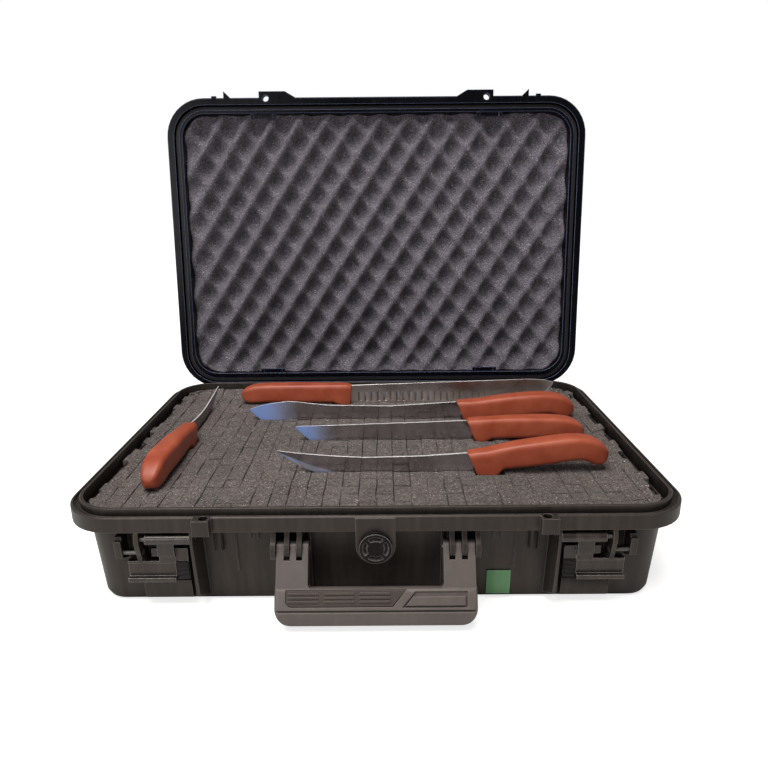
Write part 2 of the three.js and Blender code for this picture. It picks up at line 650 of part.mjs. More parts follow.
function lidShell() {
  const flange = lidStack([
    [edgeChamfer, lidBase], [0, lidBase + edgeChamfer], [0, flangeTop - 1], [1, flangeTop],
  ], cornerSteps.seen);
  const shoulder = lidTop - lidTopRadius;
  const body = lidStack([
    [lidSetback, flangeTop - 1],
    [lidSetback + lidDraft, shoulder],
    [lidSetback + lidDraft + lidTopRadius * 0.3, shoulder + lidTopRadius * 0.7],
    [lidSetback + lidDraft + lidTopRadius, lidTop],
  ], cornerSteps.seen);
  const room = lidStack([
    [lidInnerInset, lidBase - 1],
    [lidInnerInset + lidDraft, shoulder],
    [lidInnerInset + lidDraft + lidTopRadius - wall, lidTop - wall],
  ], cornerSteps.seen);
  // The groove takes the tub's tongue, so it follows the tub's rim
  const [outer, inner] = [grooveCentre - grooveWidth / 2, grooveCentre + grooveWidth / 2];
  const groove = rimStack([[outer, lidBase - 1], [outer, lidBase + grooveDepth]], cornerSteps.seen)
    .subtract(rimStack([[inner, lidBase - 2], [inner, lidBase + grooveDepth + 1]], cornerSteps.seen));
  // The groove's inner lip starts higher, so that the lid passes the tongue at the back as it swings
  const lipRelief = rimStack([[outer, lidBase - 1], [outer, lidBase + grooveLipRelief]], cornerSteps.seen);
  const [hingeY, hingeZ] = hingePivot;
  const hingeParts = bothSides.flatMap((side) => hingeRange(side, 'middle').flatMap((x) => [
    rod('x', knuckleRadius, x, hingePivot),
    block(x, [hingeY - knuckleRadius + 0.5, hingeY + knuckleRadius], [hingeZ, hingeZ + hingeArm]),
  ]));
  const pinHoles = bothSides.map((side) => rod('x', hingePinRadius + pinClearance,
    sided(side, [0, rimWidth / 2]), hingePivot));
  const details = bothSides.map(lidFrontDetails);
  const whole = join([flange, body, ...lidPanel(), ...details.flatMap(({ add }) => add), ...hingeParts]);
  return cut(whole, [room, groove, lipRelief, ...pinHoles, ...details.flatMap(({ remove }) => remove)]);
}

function lidGasket() {
  const top = lidBase + grooveDepth - gasketClearance;
  const bottom = top - gasketHeight;
  const half = grooveWidth / 2 - gasketClearance;
  const [outer, inner] = [grooveCentre - half, grooveCentre + half];
  return rimStack([[outer + edgeChamfer, bottom], [outer, bottom + edgeChamfer], [outer, top]], cornerSteps.seen)
    .subtract(rimStack([[inner, bottom - 1], [inner, top + 1]], cornerSteps.seen));
}

// Egg-crate pad: peaks and pits alternate on a slightly turned grid
function lidFoam() {
  const step = { x: eggCratePitch.across / 2, y: eggCratePitch.along / 2 };
  const turn = THREE.MathUtils.degToRad(eggCrateTurn);
  const count = { x: Math.ceil(lidWidth / step.x / 2) + 2, y: Math.ceil(lidLength / step.y / 2) + 2 };
  const columns = 2 * count.x + 1;
  const rows = 2 * count.y + 1;
  const back = lidTop - wall - foamGap;
  const points = [];
  for (const surface of ['peaks', 'back']) {
    for (let j = -count.y; j <= count.y; j += 1) {
      for (let i = -count.x; i <= count.x; i += 1) {
        const [u, v] = [i * step.x, j * step.y];
        const pit = (i + j) % 2 !== 0;
        const z = surface === 'back' ? back + 5 : lidPeaks + (pit ? eggCrateHeight : 0);
        points.push(u * Math.cos(turn) + v * Math.sin(turn), lidCentre - u * Math.sin(turn) + v * Math.cos(turn), z);
      }
    }
  }
  const faces = [];
  const under = columns * rows;
  const quad = (a, b, c, d) => faces.push(a, b, c, a, c, d);
  for (let j = 0; j + 1 < rows; j += 1) {
    for (let i = 0; i + 1 < columns; i += 1) {
      const [a, b, c, d] = [j * columns + i, j * columns + i + 1, (j + 1) * columns + i + 1, (j + 1) * columns + i];
      // The fold runs from pit to pit, so each peak is a pyramid
      if ((i + j) % 2 === 0) quad(d, c, b, a);
      else quad(a, d, c, b);
      quad(under + a, under + b, under + c, under + d);
    }
  }
  for (let i = 0; i + 1 < columns; i += 1) {
    const far = (rows - 1) * columns + i;
    quad(i, i + 1, under + i + 1, under + i);
    quad(far + 1, far, under + far, under + far + 1);
  }
  for (let j = 0; j + 1 < rows; j += 1) {
    const [near, far] = [j * columns, j * columns + columns - 1];
    quad(near + columns, near, under + near, under + near + columns);
    quad(far, far + columns, under + far + columns, under + far);
  }
  const geometry = new THREE.BufferGeometry();
  geometry.setAttribute('position', new THREE.Float32BufferAttribute(points, 3));
  geometry.setIndex(faces);
  const shoulder = lidTop - lidTopRadius;
  const inset = lidInnerInset + foamGap;
  const room = lidStack([
    [inset, lidPeaks - 5], [inset + lidDraft, shoulder], [inset + lidDraft + lidTopRadius, back],
  ]);
  return solid(geometry).intersect(room);
}

function foamClipAt(sideX, sideY) {
  const low = lidPeaks - foamClip.thickness - foamClip.rise;
  const draft = lidDraft * (low + foamClip.thickness - lidBase) / (lidTop - lidTopRadius - lidBase);
  const outward = lidCentre + sideY * (lidLength / 2 - lidInnerInset - draft - 0.3);
  const inward = outward - sideY * foamClip.reach;
  const y = [Math.min(outward, inward), Math.max(outward, inward)];
  const x = sided(sideX, [foamClip.centre - foamClip.width / 2, foamClip.centre + foamClip.width / 2]);
  const plate = block(x, y, [low, low + foamClip.thickness]);
  const z = [low - foamClip.rise, low + foamClip.thickness];
  const ends = [x[0], x[1] - foamClip.end].map((from) => block([from, from + foamClip.end], y, z));
  return join([plate, ...ends]);
}

// Foam in the tub
function floorPad() {
  const bottom = floorThickness + foamGap / 2;
  const top = floorThickness + foamFloorPad;
  const inset = (z) => wallInset(z) + wall + foamGap;
  return wallStack([[inset(bottom) + 3, bottom], [inset(bottom + 4), bottom + 4], [inset(top), top]]);
}

// A blade's rear edge leans as its handle's front does; this is where it ends at the bottom
function bladeRear({ spine, edge, handle }) {
  const [[topX, topZ], [bottomX, bottomZ]] = [handle.top[0], handle.bottom[0]];
  return knifeGap + (bottomX - topX) / (topZ - bottomZ) * (spine[0][1] - edge[0][1]);
}

function knifeSlit(knife) {
  const half = knife.blade / 2 + slitClearance;
  const lowest = Math.min(...knife.edge.map(([, z]) => z));
  const edge = knife.edge.map(([x, z]) => [x, z - 1]);
  const rear = bladeRear(knife) - 1.5;
  const tip = knife.length + 1.5;
  const slit = [[rear, 20], [rear, lowest - 1], ...edge, [tip, edge.at(-1)[1]], [tip, 20]];
  const heel = Math.min(...knife.handle.bottom.map(([, z]) => z)) - 1;
  const heelBack = Math.min(...knife.handle.bottom.filter(([, z]) => z < 0).map(([x]) => x));
  const guard = [[heelBack - 10, 20], [heelBack - 10, -0.2], [heelBack - 1, heel], [1, heel], [1, 20]];
  const width = knife.handle.width / 2 + 1;
  return join([
    plateY(outline(slit), [-half, half]),
    plateY(outline(guard), [-width, width]),
  ]);
}

function placed(body, knife) {
  const { vertProperties, triVerts } = body.getMesh();
  const geometry = new THREE.BufferGeometry();
  geometry.setAttribute('position', new THREE.BufferAttribute(vertProperties, 3));
  geometry.setIndex(new THREE.BufferAttribute(triVerts, 1));
  geometry.rotateZ(THREE.MathUtils.degToRad(knife.turn)).translate(knife.at[0], knife.at[1], foamTop);
  return solid(geometry);
}

function foamBlock() {
  const bottom = floorThickness + foamFloorPad + 0.3;
  const ledge = skirtBottom + ledgeThickness + 0.3;
  const inset = (z) => wallInset(z) + wall + foamGap;
  const lower = wallStack([
    [inset(bottom), bottom], [inset(skirtBottom), skirtBottom], [inset(skirtBottom), ledge + 0.5],
  ]);
  const upper = rimStack([[tongueInset + foamGap, ledge], [tongueInset + foamGap, foamTop]]);
  const nutRoom = rod('y', valveNutRadius + 2, [wallFront(valveHeight), valveNutFrom + valveNutThickness + 2],
    [0, valveHeight], 16);
  return cut(lower.add(upper), [nutRoom, ...knives.map((knife) => placed(knifeSlit(knife), knife))]);
}

// Valve, from the seal outwards and with its nut inside the wall
const valveFace = frontEdge - valveColumnReach;
const sealBack = valveFace + valveRecess - valveGap;
const sealFront = sealBack - valveSealThickness;
const flangeBack = sealFront - valveGap;
const flangeFront = valveFace - valveGap;
const valveNutFrom = wallFront(valveHeight - valveNutRadius) + wall + 0.4;

function valveSeal() {
  return rod('y', valveFlangeRadius, [sealFront, sealBack], [0, valveHeight], 24)
    .subtract(rod('y', valveBore + 0.5, [sealFront - 1, sealBack + 1], [0, valveHeight], 24));
}

function valveBody() {
  const inner = valveNutFrom + valveNutThickness + 1;
  const stem = rod('y', valveBore - pinClearance, [flangeFront + 0.5, inner], [0, valveHeight], 24);
  return stem.add(rod('y', valveFlangeRadius, [flangeFront, flangeBack], [0, valveHeight], 24));
}

function valveNut() {
  const from = valveNutFrom;
  return rod('y', valveNutRadius, [from, from + valveNutThickness], [0, valveHeight], 6)
    .subtract(rod('y', valveBore, [from - 1, from + valveNutThickness + 1], [0, valveHeight], 24));
}

function valveCap() {
  const y = [flangeFront - valveGap - valveCapThickness, flangeFront - valveGap];
  const at = [0, valveHeight];
  const { inner, outer, count, spoke, depth } = valveSlots;
  const slotY = [y[0] - 1, y[0] + depth];
  const slotRing = rod('y', outer, slotY, at, 28).subtract(rod('y', inner, [y[0] - 2, y[0] + depth + 1], at, 28));
  const spokes = [];
  for (let k = 0; k < count / 2; k += 1) {
    const bar = new THREE.BoxGeometry(2 * valveCapRadius, valveCapThickness * 4, spoke);
    bar.rotateY(Math.PI * (k + 0.5) * 2 / count).translate(0, y[0], valveHeight);
    spokes.push(solid(bar));
  }
  return rod('y', valveCapRadius, y, at, 28).subtract(cut(slotRing, spokes));
}

function labelPlate() {
  const front = (z) => wallFront(z) - 0.3;
  const top = label.foot + label.height;
  return plateX([
    [front(label.foot), label.foot], [front(top), top],
    [front(top) - label.thickness, top], [front(label.foot) - label.thickness, label.foot],
  ], [label.left, label.left + label.width]);
}

// Latch, hanging
function latchLever(side) {
  const [pivotY, pivotZ] = latchPivot;
  const back = latchFront + latchPlate;
  const stemFront = latchFront - stemRaise;
  const barX = sided(side, [barInner, barOuter]);
  const barrel = rod('x', barrelRadius, sided(side, [barrelInner, barrelOuter]), latchPivot);
  const stem = plateX([
    [pivotY, pivotZ + 3], [pivotY, pivotZ - 2], [stemFront, pivotZ - 2.5], [stemFront, shoulderBottom + 2],
    [latchFront, shoulderBottom], [latchFront, barTop - 1], [back, barTop - 1], [back, pivotZ - 7],
    [back - 4.5, pivotZ + 1],
  ], sided(side, [stemInner, stemOuter]));
  const wings = [[[padInner, stemInner + 1], barTop - 1], [[stemOuter - 1, barrelOuter], shoulderBottom]].map(
    ([x, low]) => block(sided(side, x), [latchFront + shoulderSink, back], [low, shoulderTop]));
  const bar = block(barX, [latchFront + barSink, back], [barBottom, barTop]);
  const edge = block(barX, [latchFront, back - 1], [barTop - barEdge, barTop]);
  const lip = block(barX, [latchFront - lipReach, back - 1], [barBottom, lipTop]);
  const corner = block(sided(side, [padInner, barInner + 1]), [latchFront + thumbPadThickness + 0.3, back],
    [barBottom, barTop]);
  const hole = rod('x', latchPinRadius + pinClearance, [-rimWidth, rimWidth], latchPivot);
  return join([barrel, stem, ...wings, bar, edge, lip, corner]).subtract(hole);
}

function thumbPad(side) {
  const x = sided(side, [padInner, barInner - 0.3]);
  const padTop = barTop - 1.4;
  const plate = block(x, [latchFront + 0.8, latchFront + thumbPadThickness], [barBottom, padTop]);
  const pitch = (padTop - barBottom) / thumbPadRibs;
  const ribs = [];
  for (let k = 0; k < thumbPadRibs; k += 1) {
    const low = barBottom + k * pitch + 0.6;
    const rise = pitch * 0.45;
    const slope = side < 0 ? [[x[0], low], [x[1], low + rise]] : [[x[1], low], [x[0], low + rise]];
    ribs.push(plateY(outline([slope[0], slope[1], [slope[1][0], slope[1][1] + 1.2], [slope[0][0], slope[0][1] + 1.2]]),
      [latchFront + 0.1, latchFront + 1]));
  }
  return join([plate, ...ribs]);
}

// Handle, drawn hanging straight down from its pivot, with its front at low Y
function gripOutline() {
  const shape = new THREE.Shape();
  const [low, high] = [-handleReach, -handleReach + gripHeight];
  shape.moveTo(-gripHalfWidth, high);
  shape.lineTo(-gripHalfWidth, low + gripCorner);
  shape.absarc(-gripHalfWidth + gripCorner, low + gripCorner, gripCorner, Math.PI, Math.PI * 1.5);
  shape.lineTo(gripHalfWidth - gripCorner, low);
  shape.absarc(gripHalfWidth - gripCorner, low + gripCorner, gripCorner, -Math.PI / 2, 0);
  shape.lineTo(gripHalfWidth, high);
  return shape;
}

// The inlay's outline: its right end slants and its lower left corner is round
function inlayOutline(shrink = 0) {
  const { left, right, slant, top, height, corner } = inlay;
  const high = -handleReach + gripHeight - top - shrink;
  const low = high - height + 2 * shrink;
  const radius = corner - shrink;
  const points = [[left + shrink, high], [right - shrink, high], [right - shrink - slant, low]];
  for (let degrees = 270; degrees >= 180; degrees -= 22.5) {
    const angle = THREE.MathUtils.degToRad(degrees);
    points.push([left + shrink + radius * (1 + Math.cos(angle)), low + radius * (1 + Math.sin(angle))]);
  }
  return outline(points);
}

// A slot whose left end slants, with room left and right, at the top and at the bottom
function slotOutline({ side = 0, top = 0, bottom = 0 } = {}) {
  const { left, right, slant, height } = gripSlot;
  const high = -handleReach + gripHeight - gripSlot.top;
  const [upper, lower] = [high - top, high - height + bottom];
  const leftAt = (z) => left - slant * (high - z) / height + side;
  return outline([[leftAt(upper), upper], [right - side, upper], [right - side, lower], [leftAt(lower), lower]]);
}

function handleFrame() {
  const y = [-handleLegThickness / 2, handleLegThickness / 2];
  const gripTop = -handleReach + gripHeight;
  const gripFront = -gripThickness / 2;
  const legs = bothSides.flatMap((side) => [
    block(sided(side, [handleLegInner, handleLegOuter]), y, [gripTop - 2, 0]),
    rod('x', fingerRadius, sided(side, [handleLegInner, handleLegOuter]), [0, 0]),
    plateY(outline([
      [side * handleLegInner, gripTop + gripGusset], [side * (handleLegInner - gripGusset), gripTop - 1],
      [side * (handleLegInner + 2), gripTop - 1], [side * (handleLegInner + 2), gripTop + gripGusset],
    ]), y),
  ]);
  const forks = bothSides.flatMap((side) => forkSlots.map((slot) => block(
    sided(side, slot), [-20, 20], [-forkDepth, 20])));
  const gripLow = -handleReach;
  const chamferTop = gripLow + gripChamfer.height;
  const chamfer = plateX([
    [gripFront - 1, chamferTop], [gripFront, chamferTop], [gripFront + gripChamfer.depth, gripLow],
    [gripFront + gripChamfer.depth, gripLow - 1], [gripFront - 1, gripLow - 1],
  ], [-gripHalfWidth - 1, gripHalfWidth + 1]);
  const line = block([-gripHalfWidth - 1, gripHalfWidth + 1], [gripFront - 1, gripFront + gripLine.depth],
    [chamferTop + gripLine.gap, chamferTop + gripLine.gap + gripLine.width]);
  const grip = cut(plateY(gripOutline(), [gripFront, -gripFront], gripBevel), [chamfer, line]);
  const pinHole = rod('x', handlePinRadius + pinClearance, [-rimWidth, rimWidth], [0, 0]);
  const inlayPocket = plateY(inlayOutline(), [gripFront - 1, gripFront + inlay.sink]);
  const slot = plateY(slotOutline(), [gripFront - 1, gripFront + gripSlot.depth])
    .subtract(plateY(slotOutline(slotIsland), [gripFront - 2, gripFront + gripSlot.depth + 1]));
  return cut(join([...legs, grip]), [...forks, pinHole, inlayPocket, slot]);
}

function handleInlay() {
  const front = -gripThickness / 2;
  const plate = plateY(inlayOutline(inlayGap), [front + 0.2, front + inlay.sink - 0.3]);
  const { count, gap, rows, rowHeight, rowPitch } = inlayPads;
  const high = -handleReach + gripHeight - inlay.top - inlayPads.top;
  const pitch = (inlay.right - inlay.slant - inlay.left) / count;
  const ridges = [];
  for (let k = 0; k < count; k += 1) {
    const left = inlay.left + gap / 2 + k * pitch;
    for (let row = 0; row < rows; row += 1) {
      const top = high - row * rowPitch;
      ridges.push(block([left, left + pitch - gap], [front - inlay.raise, front + 0.5], [top - rowHeight, top]));
    }
  }
  return join([plate, ...ridges]);
}

// Knives, drawn along X with the handle's front at zero and the foam's top at zero
function along(points, x) {
  const next = points.findIndex(([px]) => px >= x);
  if (next <= 0) return points.at(next)[1];
  const [[x0, z0], [x1, z1]] = [points[next - 1], points[next]];
  return z0 + (z1 - z0) * (x - x0) / (x1 - x0);
}

// One cross-section between a top and a bottom point in X and Z, each place [y, share of the height]
const section = ([topX, topZ], [bottomX, bottomZ], places) => places.map(([y, share]) => [
  bottomX + (topX - bottomX) * share, y, bottomZ + (topZ - bottomZ) * share,
]);

function blade(knife) {
  const { name, length, blade: thickness, spine, edge } = knife;
  const half = thickness / 2;
  const rear = bladeRear(knife);
  const stations = [];
  for (let k = 0; k <= bladeSteps; k += 1) {
    const share = k / bladeSteps;
    const [x, low] = [knifeGap + (length - knifeGap) * share, rear + (length - rear) * share];
    const [top, bottom] = [[x, along(spine, x)], [low, along(edge, low)]];
    const thin = half * (1 - bladeEdge.taper * share);
    const bevel = Math.min(bladeEdge.height / (top[1] - bottom[1]), bladeEdge.share);
    stations.push(section(top, bottom, [
      [thin, 1], [-thin, 1], [-thin, bevel], [-bladeEdge.half, 0], [bladeEdge.half, 0], [thin, bevel],
    ]));
  }
  const whole = [stack(stations), block([-tang.length, knifeGap + 1], [-half * 0.8, half * 0.8],
    [tang.below, tang.below + tang.height])];
  if (name !== 'slicing_knife') return join(whole);
  const hollows = [];
  for (let k = 0; k < scallops.count; k += 1) {
    const x = scallops.from + (k + 0.5) * scallops.pitch;
    for (const face of bothSides) {
      const y = face * (half - scallops.depth + scallops.radius);
      hollows.push(rod('z', scallops.radius, [scallops.low, scallops.high], [x, y]));
    }
  }
  return cut(join(whole), hollows);
}

function knifeHandle({ blade: thickness, handle }) {
  const squared = (value) => Math.sign(value) * Math.abs(value) ** 0.6;
  const stations = handle.top.map((top, k) => {
    const places = [];
    for (let side = 0; side < handleSides; side += 1) {
      const angle = 2 * Math.PI * (side + 0.5) / handleSides;
      places.push([handle.width / 2 * handleWidths[k] * squared(Math.cos(angle)), 0.5 + squared(Math.sin(angle)) / 2]);
    }
    return section(top, handle.bottom[k], places);
  });
  const half = thickness / 2 * 0.8 + 0.25;
  const tangRoom = block([-tang.length - 0.4, 5], [-half, half], [tang.below - 0.3, tang.below + tang.height + 0.3]);
  return stack(stations.reverse()).subtract(tangRoom);
}

// Assembly
const knifeCase = new THREE.Group();
knifeCase.add(
  named('base_shell', tub(), colours.plastic),
  named('foam_floor_pad', floorPad(), colours.foam),
  named('foam_block', foamBlock(), colours.foam),
  named('valve_seal', valveSeal(), colours.rubber),
  named('valve_body', valveBody(), colours.plastic),
  named('valve_nut', valveNut(), colours.plastic),
  named('valve_cap', valveCap(), colours.plastic),
  named('label_plate', labelPlate(), colours.green),
);

for (const side of bothSides) {
  const outerLugEnd = handleLegOuter + forkClearance + outerLugWidth;
  const hinge = [side * hingeSpacing / 2 - hingeWidth / 2, side * hingeSpacing / 2 + hingeWidth / 2];
  const strapAt = [frontEdge + strapPinSink, rimHeight - strapPinDrop];
  knifeCase.add(
    named(`hinge_pin_${sideName(side)}`, rod('x', hingePinRadius, hinge, hingePivot, 12), colours.steel),
    named(`latch_pin_${sideName(side)}`,
      rod('x', latchPinRadius, sided(side, [edgeRib.front - 0.5, innerRib[1]]), latchPivot, 12), colours.steel),
    named(`handle_pin_${sideName(side)}`,
      rod('x', handlePinRadius, sided(side, [handleLegInner - 0.8, outerLugEnd]), handlePivot, 12), colours.steel),
    named(`strap_pin_${sideName(side)}`,
      rod('x', strapPinRadius, sided(side, [innerRib[0], outerEar[0] + 1.5]), strapAt, 12), colours.steel),
    named(`latch_${sideName(side)}`, latchLever(side), colours.plastic),
    named(`latch_pad_${sideName(side)}`, thumbPad(side), colours.rubber),
  );
}

const lid = new THREE.Group();
lid.add(
  named('lid_shell', lidShell(), colours.lidPlastic),
  named('lid_gasket', lidGasket(), colours.rubber),
  named('lid_foam', lidFoam(), colours.darkFoam),
);
for (const [index, [sideX, sideY]] of [[-1, -1], [1, -1], [-1, 1], [1, 1]].entries()) {
  lid.add(named(`foam_clip_${index + 1}`, foamClipAt(sideX, sideY), colours.lidPlastic));
}
lid.position.set(0, -hingePivot[0], -hingePivot[1]);
const openLid = new THREE.Group();
openLid.add(lid);
openLid.position.set(0, hingePivot[0], hingePivot[1]);
openLid.rotation.x = -openAngle;
knifeCase.add(openLid);

const handle = new THREE.Group();
handle.add(
  named('handle_frame', handleFrame(), colours.handlePlastic),
  named('handle_inlay', handleInlay(), colours.handlePlastic),
);
handle.position.set(0, handlePivot[0], handlePivot[1]);
handle.rotation.x = -THREE.MathUtils.degToRad(handleLean);
knifeCase.add(handle);

for (const knife of knives) {
  const group = new THREE.Group();
  group.add(
    named(`${knife.name}_blade`, blade(knife), colours.blade),
    named(`${knife.name}_handle`, knifeHandle(knife), colours.grip),
  );
  group.position.set(knife.at[0], knife.at[1], foamTop);
  group.rotation.z = THREE.MathUtils.degToRad(knife.turn);
  knifeCase.add(group);
}

export default knifeCase;
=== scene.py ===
import math
import random

import bmesh
import bpy
from mathutils import Matrix, Vector, noise


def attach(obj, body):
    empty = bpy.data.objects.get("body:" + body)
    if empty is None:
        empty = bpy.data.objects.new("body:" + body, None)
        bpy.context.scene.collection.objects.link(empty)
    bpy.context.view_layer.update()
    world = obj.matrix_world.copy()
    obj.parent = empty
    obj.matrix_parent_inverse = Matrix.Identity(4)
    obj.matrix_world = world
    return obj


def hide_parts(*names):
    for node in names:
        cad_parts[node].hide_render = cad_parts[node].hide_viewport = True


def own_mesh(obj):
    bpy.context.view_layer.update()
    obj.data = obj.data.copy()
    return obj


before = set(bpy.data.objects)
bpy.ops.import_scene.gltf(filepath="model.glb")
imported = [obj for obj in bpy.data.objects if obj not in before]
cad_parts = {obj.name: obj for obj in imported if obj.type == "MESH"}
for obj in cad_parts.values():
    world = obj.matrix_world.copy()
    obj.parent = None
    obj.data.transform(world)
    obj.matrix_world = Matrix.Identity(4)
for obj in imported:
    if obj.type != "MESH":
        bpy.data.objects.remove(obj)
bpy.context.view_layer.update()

print("stage: frame loaded")

mm = 0.001
lidHinge = {"y": 176 * mm, "z": 82.5 * mm, "open": 96.5}  # the lid turns about this line
lidRest = (
    Matrix.Translation((0, lidHinge["y"], lidHinge["z"]))
    @ Matrix.Rotation(math.radians(-lidHinge["open"]), 4, "X")
    @ Matrix.Translation((0, -lidHinge["y"], -lidHinge["z"]))
)
foamTop = 81.0  # millimetres over the floor


def deselect():
    if bpy.context.object and bpy.context.object.mode != "OBJECT":
        bpy.ops.object.mode_set(mode="OBJECT")
    bpy.ops.object.select_all(action="DESELECT")


# Camera and light
cameraSetup = {
    "place": (8.3 * mm, -624.1 * mm, 335.1 * mm),
    "down": 17.24,
    "yaw": -0.10,
    "roll": -0.46,
    "focalPixels": 651.9,
    "imagePixels": 768,
    "sensor": 36.0,
}
lightSetup = {
    "worldAmbient": 0.2,
    "overhead": {"place": (-0.25, -0.5, 1.45), "size": 1.0, "power": 29, "colour": (1, 0.985, 0.96)},
    "front": {"place": (-0.75, -1.5, 0.65), "size": 0.7, "power": 5.5, "colour": (0.9, 0.94, 1)},
}


def makeCamera(setup):
    down, yaw, roll = (math.radians(setup[key]) for key in ("down", "yaw", "roll"))
    ahead = Vector((math.sin(yaw) * math.cos(down), math.cos(yaw) * math.cos(down), -math.sin(down)))
    level = Vector((math.cos(yaw), -math.sin(yaw), 0))
    up = level.cross(ahead)
    right = math.cos(roll) * level + math.sin(roll) * up
    top = -math.sin(roll) * level + math.cos(roll) * up
    turn = Matrix((right, top, -ahead)).transposed()
    bpy.ops.object.camera_add(location=setup["place"], rotation=turn.to_euler())
    camera = bpy.context.object
    camera.name = "photoCamera"
    camera.data.sensor_width = setup["sensor"]
    camera.data.lens = setup["focalPixels"] / setup["imagePixels"] * setup["sensor"]
    camera.data.clip_start = 0.01
    bpy.context.scene.camera = camera


def addSoftbox(name, setup, target=(0, 0.05, 0.1)):
    aim = (Vector(target) - Vector(setup["place"])).to_track_quat("-Z", "Y").to_euler()
    bpy.ops.object.light_add(type="AREA", location=setup["place"], rotation=aim)
    lamp = bpy.context.object
    lamp.name = name
    lamp.data.size = setup["size"]
    lamp.data.energy = setup["power"]
    lamp.data.color = setup["colour"]


deselect()
makeCamera(cameraSetup)
addSoftbox("overheadSoftbox", lightSetup["overhead"])
addSoftbox("frontSoftbox", lightSetup["front"])
bpy.context.scene.view_settings.view_transform = "Standard"


# Small helpers for shader trees
def tone(red, green, blue):  # a colour as seen on screen, made linear
    def linear(value):
        share = value / 255
        return share / 12.92 if share <= 0.04045 else ((share + 0.055) / 1.055) ** 2.4

    return (linear(red), linear(green), linear(blue), 1)


def scaledTone(colour, factor):
    return tone(*[min(255, value * factor) for value in colour])


def addNode(tree, kind, inputs=None, **settings):
    node = tree.nodes.new(kind)
    for key, value in settings.items():
        setattr(node, key, value)
    for key, value in (inputs or {}).items():
        if isinstance(value, bpy.types.NodeSocket):
            tree.links.new(value, node.inputs[key])
        else:
            node.inputs[key].default_value = value
    return node


def addMath(tree, operation, *values):
    return addNode(tree, "ShaderNodeMath", dict(enumerate(values)), operation=operation).outputs[0]


def addRange(tree, value, low, high, toLow=0.0, toHigh=1.0):
    limits = {"From Min": low, "From Max": high, "To Min": toLow, "To Max": toHigh}
    return addNode(tree, "ShaderNodeMapRange", {"Value": value} | limits).outputs["Result"]


def addNoise(tree, where, scale, detail, roughness=0.5):
    inputs = {"Vector": where, "Scale": scale, "Detail": detail, "Roughness": roughness}
    return addNode(tree, "ShaderNodeTexNoise", inputs).outputs["Fac"]


def mixColour(tree, factor, first, second):
    node = addNode(tree, "ShaderNodeMix", data_type="RGBA")
    for socket, value in ((node.inputs[0], factor), (node.inputs[6], first), (node.inputs[7], second)):
        if isinstance(value, bpy.types.NodeSocket):
            tree.links.new(value, socket)
        else:
            socket.default_value = value
    return node.outputs[2]


def blendOver(tree, mask, share, first, second):
    return mixColour(tree, addMath(tree, "MULTIPLY", mask, share), first, second)


def newGroup(name, inputs, outputs):
    group = bpy.data.node_groups.new(name, "ShaderNodeTree")
    for label, value in inputs.items():
        socket = group.interface.new_socket(label, in_out="INPUT", socket_type="NodeSocketFloat")
        socket.default_value = value
    for label, kind in outputs.items():
        group.interface.new_socket(label, in_out="OUTPUT", socket_type=kind)
    return group, group.nodes.new("NodeGroupInput"), group.nodes.new("NodeGroupOutput")


def placeGroup(tree, group, **values):
    node = tree.nodes.new("ShaderNodeGroup")
    node.node_tree = group
    for key, value in values.items():
        node.inputs[key].default_value = value
    return node


def newMaterial(name, **values):
    material = bpy.data.materials.new(name)
    material.use_nodes = True
    tree = material.node_tree
    shader = tree.nodes["Principled BSDF"]
    for key, value in values.items():
        shader.inputs[key.replace("_", " ")].default_value = value
    return material, tree, shader


# Effects that several materials share
grainLook = {
    "fine": 1500.0, "pebble": 900.0, "pebbleShare": 0.45, "broad": 22.0, "broadRange": (0.3, 0.7),
    "streaks": (190.0, 190.0, 9.0), "scuffRange": (0.42, 0.75),
}
# the occlusion reach and range here set the painted shade in narrow gaps
edgeLook = {"samples": 6, "wearAndHighlightRange": (0.995, 0.80), "gapReach": 0.02, "gapShadeRange": (0.75, 0.2)}
# the pores set the painted shade in the open cells; the sparkle cells and their ranges choose the painted
# glints
foamLook = {
    "pores": 820.0, "poreRange": (0.12, 0.55), "fine": 1900.0, "fineRange": (0.32, 0.62, 0.45, 1.0),
    "clumps": 330.0, "clumpRange": (0.3, 0.7, 0.5, 1.25), "slow": 30.0, "slowRange": (0.3, 0.7),
    "sparkle": 760.0, "chosenRange": (0.90, 0.97), "glintRange": (0.42, 0.18),
}


def makeMouldGrain(look):  # fine spark-eroded texture with soft mottling and handling marks
    group, given, result = newGroup(
        "mouldGrain",
        {"Marks": 0.5},
        {"Height": "NodeSocketFloat", "Mottle": "NodeSocketFloat", "Scuff": "NodeSocketFloat"},
    )
    where = addNode(group, "ShaderNodeTexCoord").outputs["Object"]
    fine = addNoise(group, where, look["fine"], 2.0)
    pebble = addNode(group, "ShaderNodeTexVoronoi", {"Vector": where, "Scale": look["pebble"]})
    broad = addNoise(group, where, look["broad"], 5.0)
    upright = addNode(group, "ShaderNodeMapping", {"Vector": where, "Scale": look["streaks"]})
    scuff = addRange(group, addNoise(group, upright.outputs[0], 1.0, 5.0), *look["scuffRange"])
    height = addMath(group, "MULTIPLY_ADD", pebble.outputs["Distance"], look["pebbleShare"], fine)
    group.links.new(height, result.inputs["Height"])
    group.links.new(addRange(group, broad, *look["broadRange"]), result.inputs["Mottle"])
    group.links.new(addMath(group, "MULTIPLY", scuff, given.outputs["Marks"]), result.inputs["Scuff"])
    return group


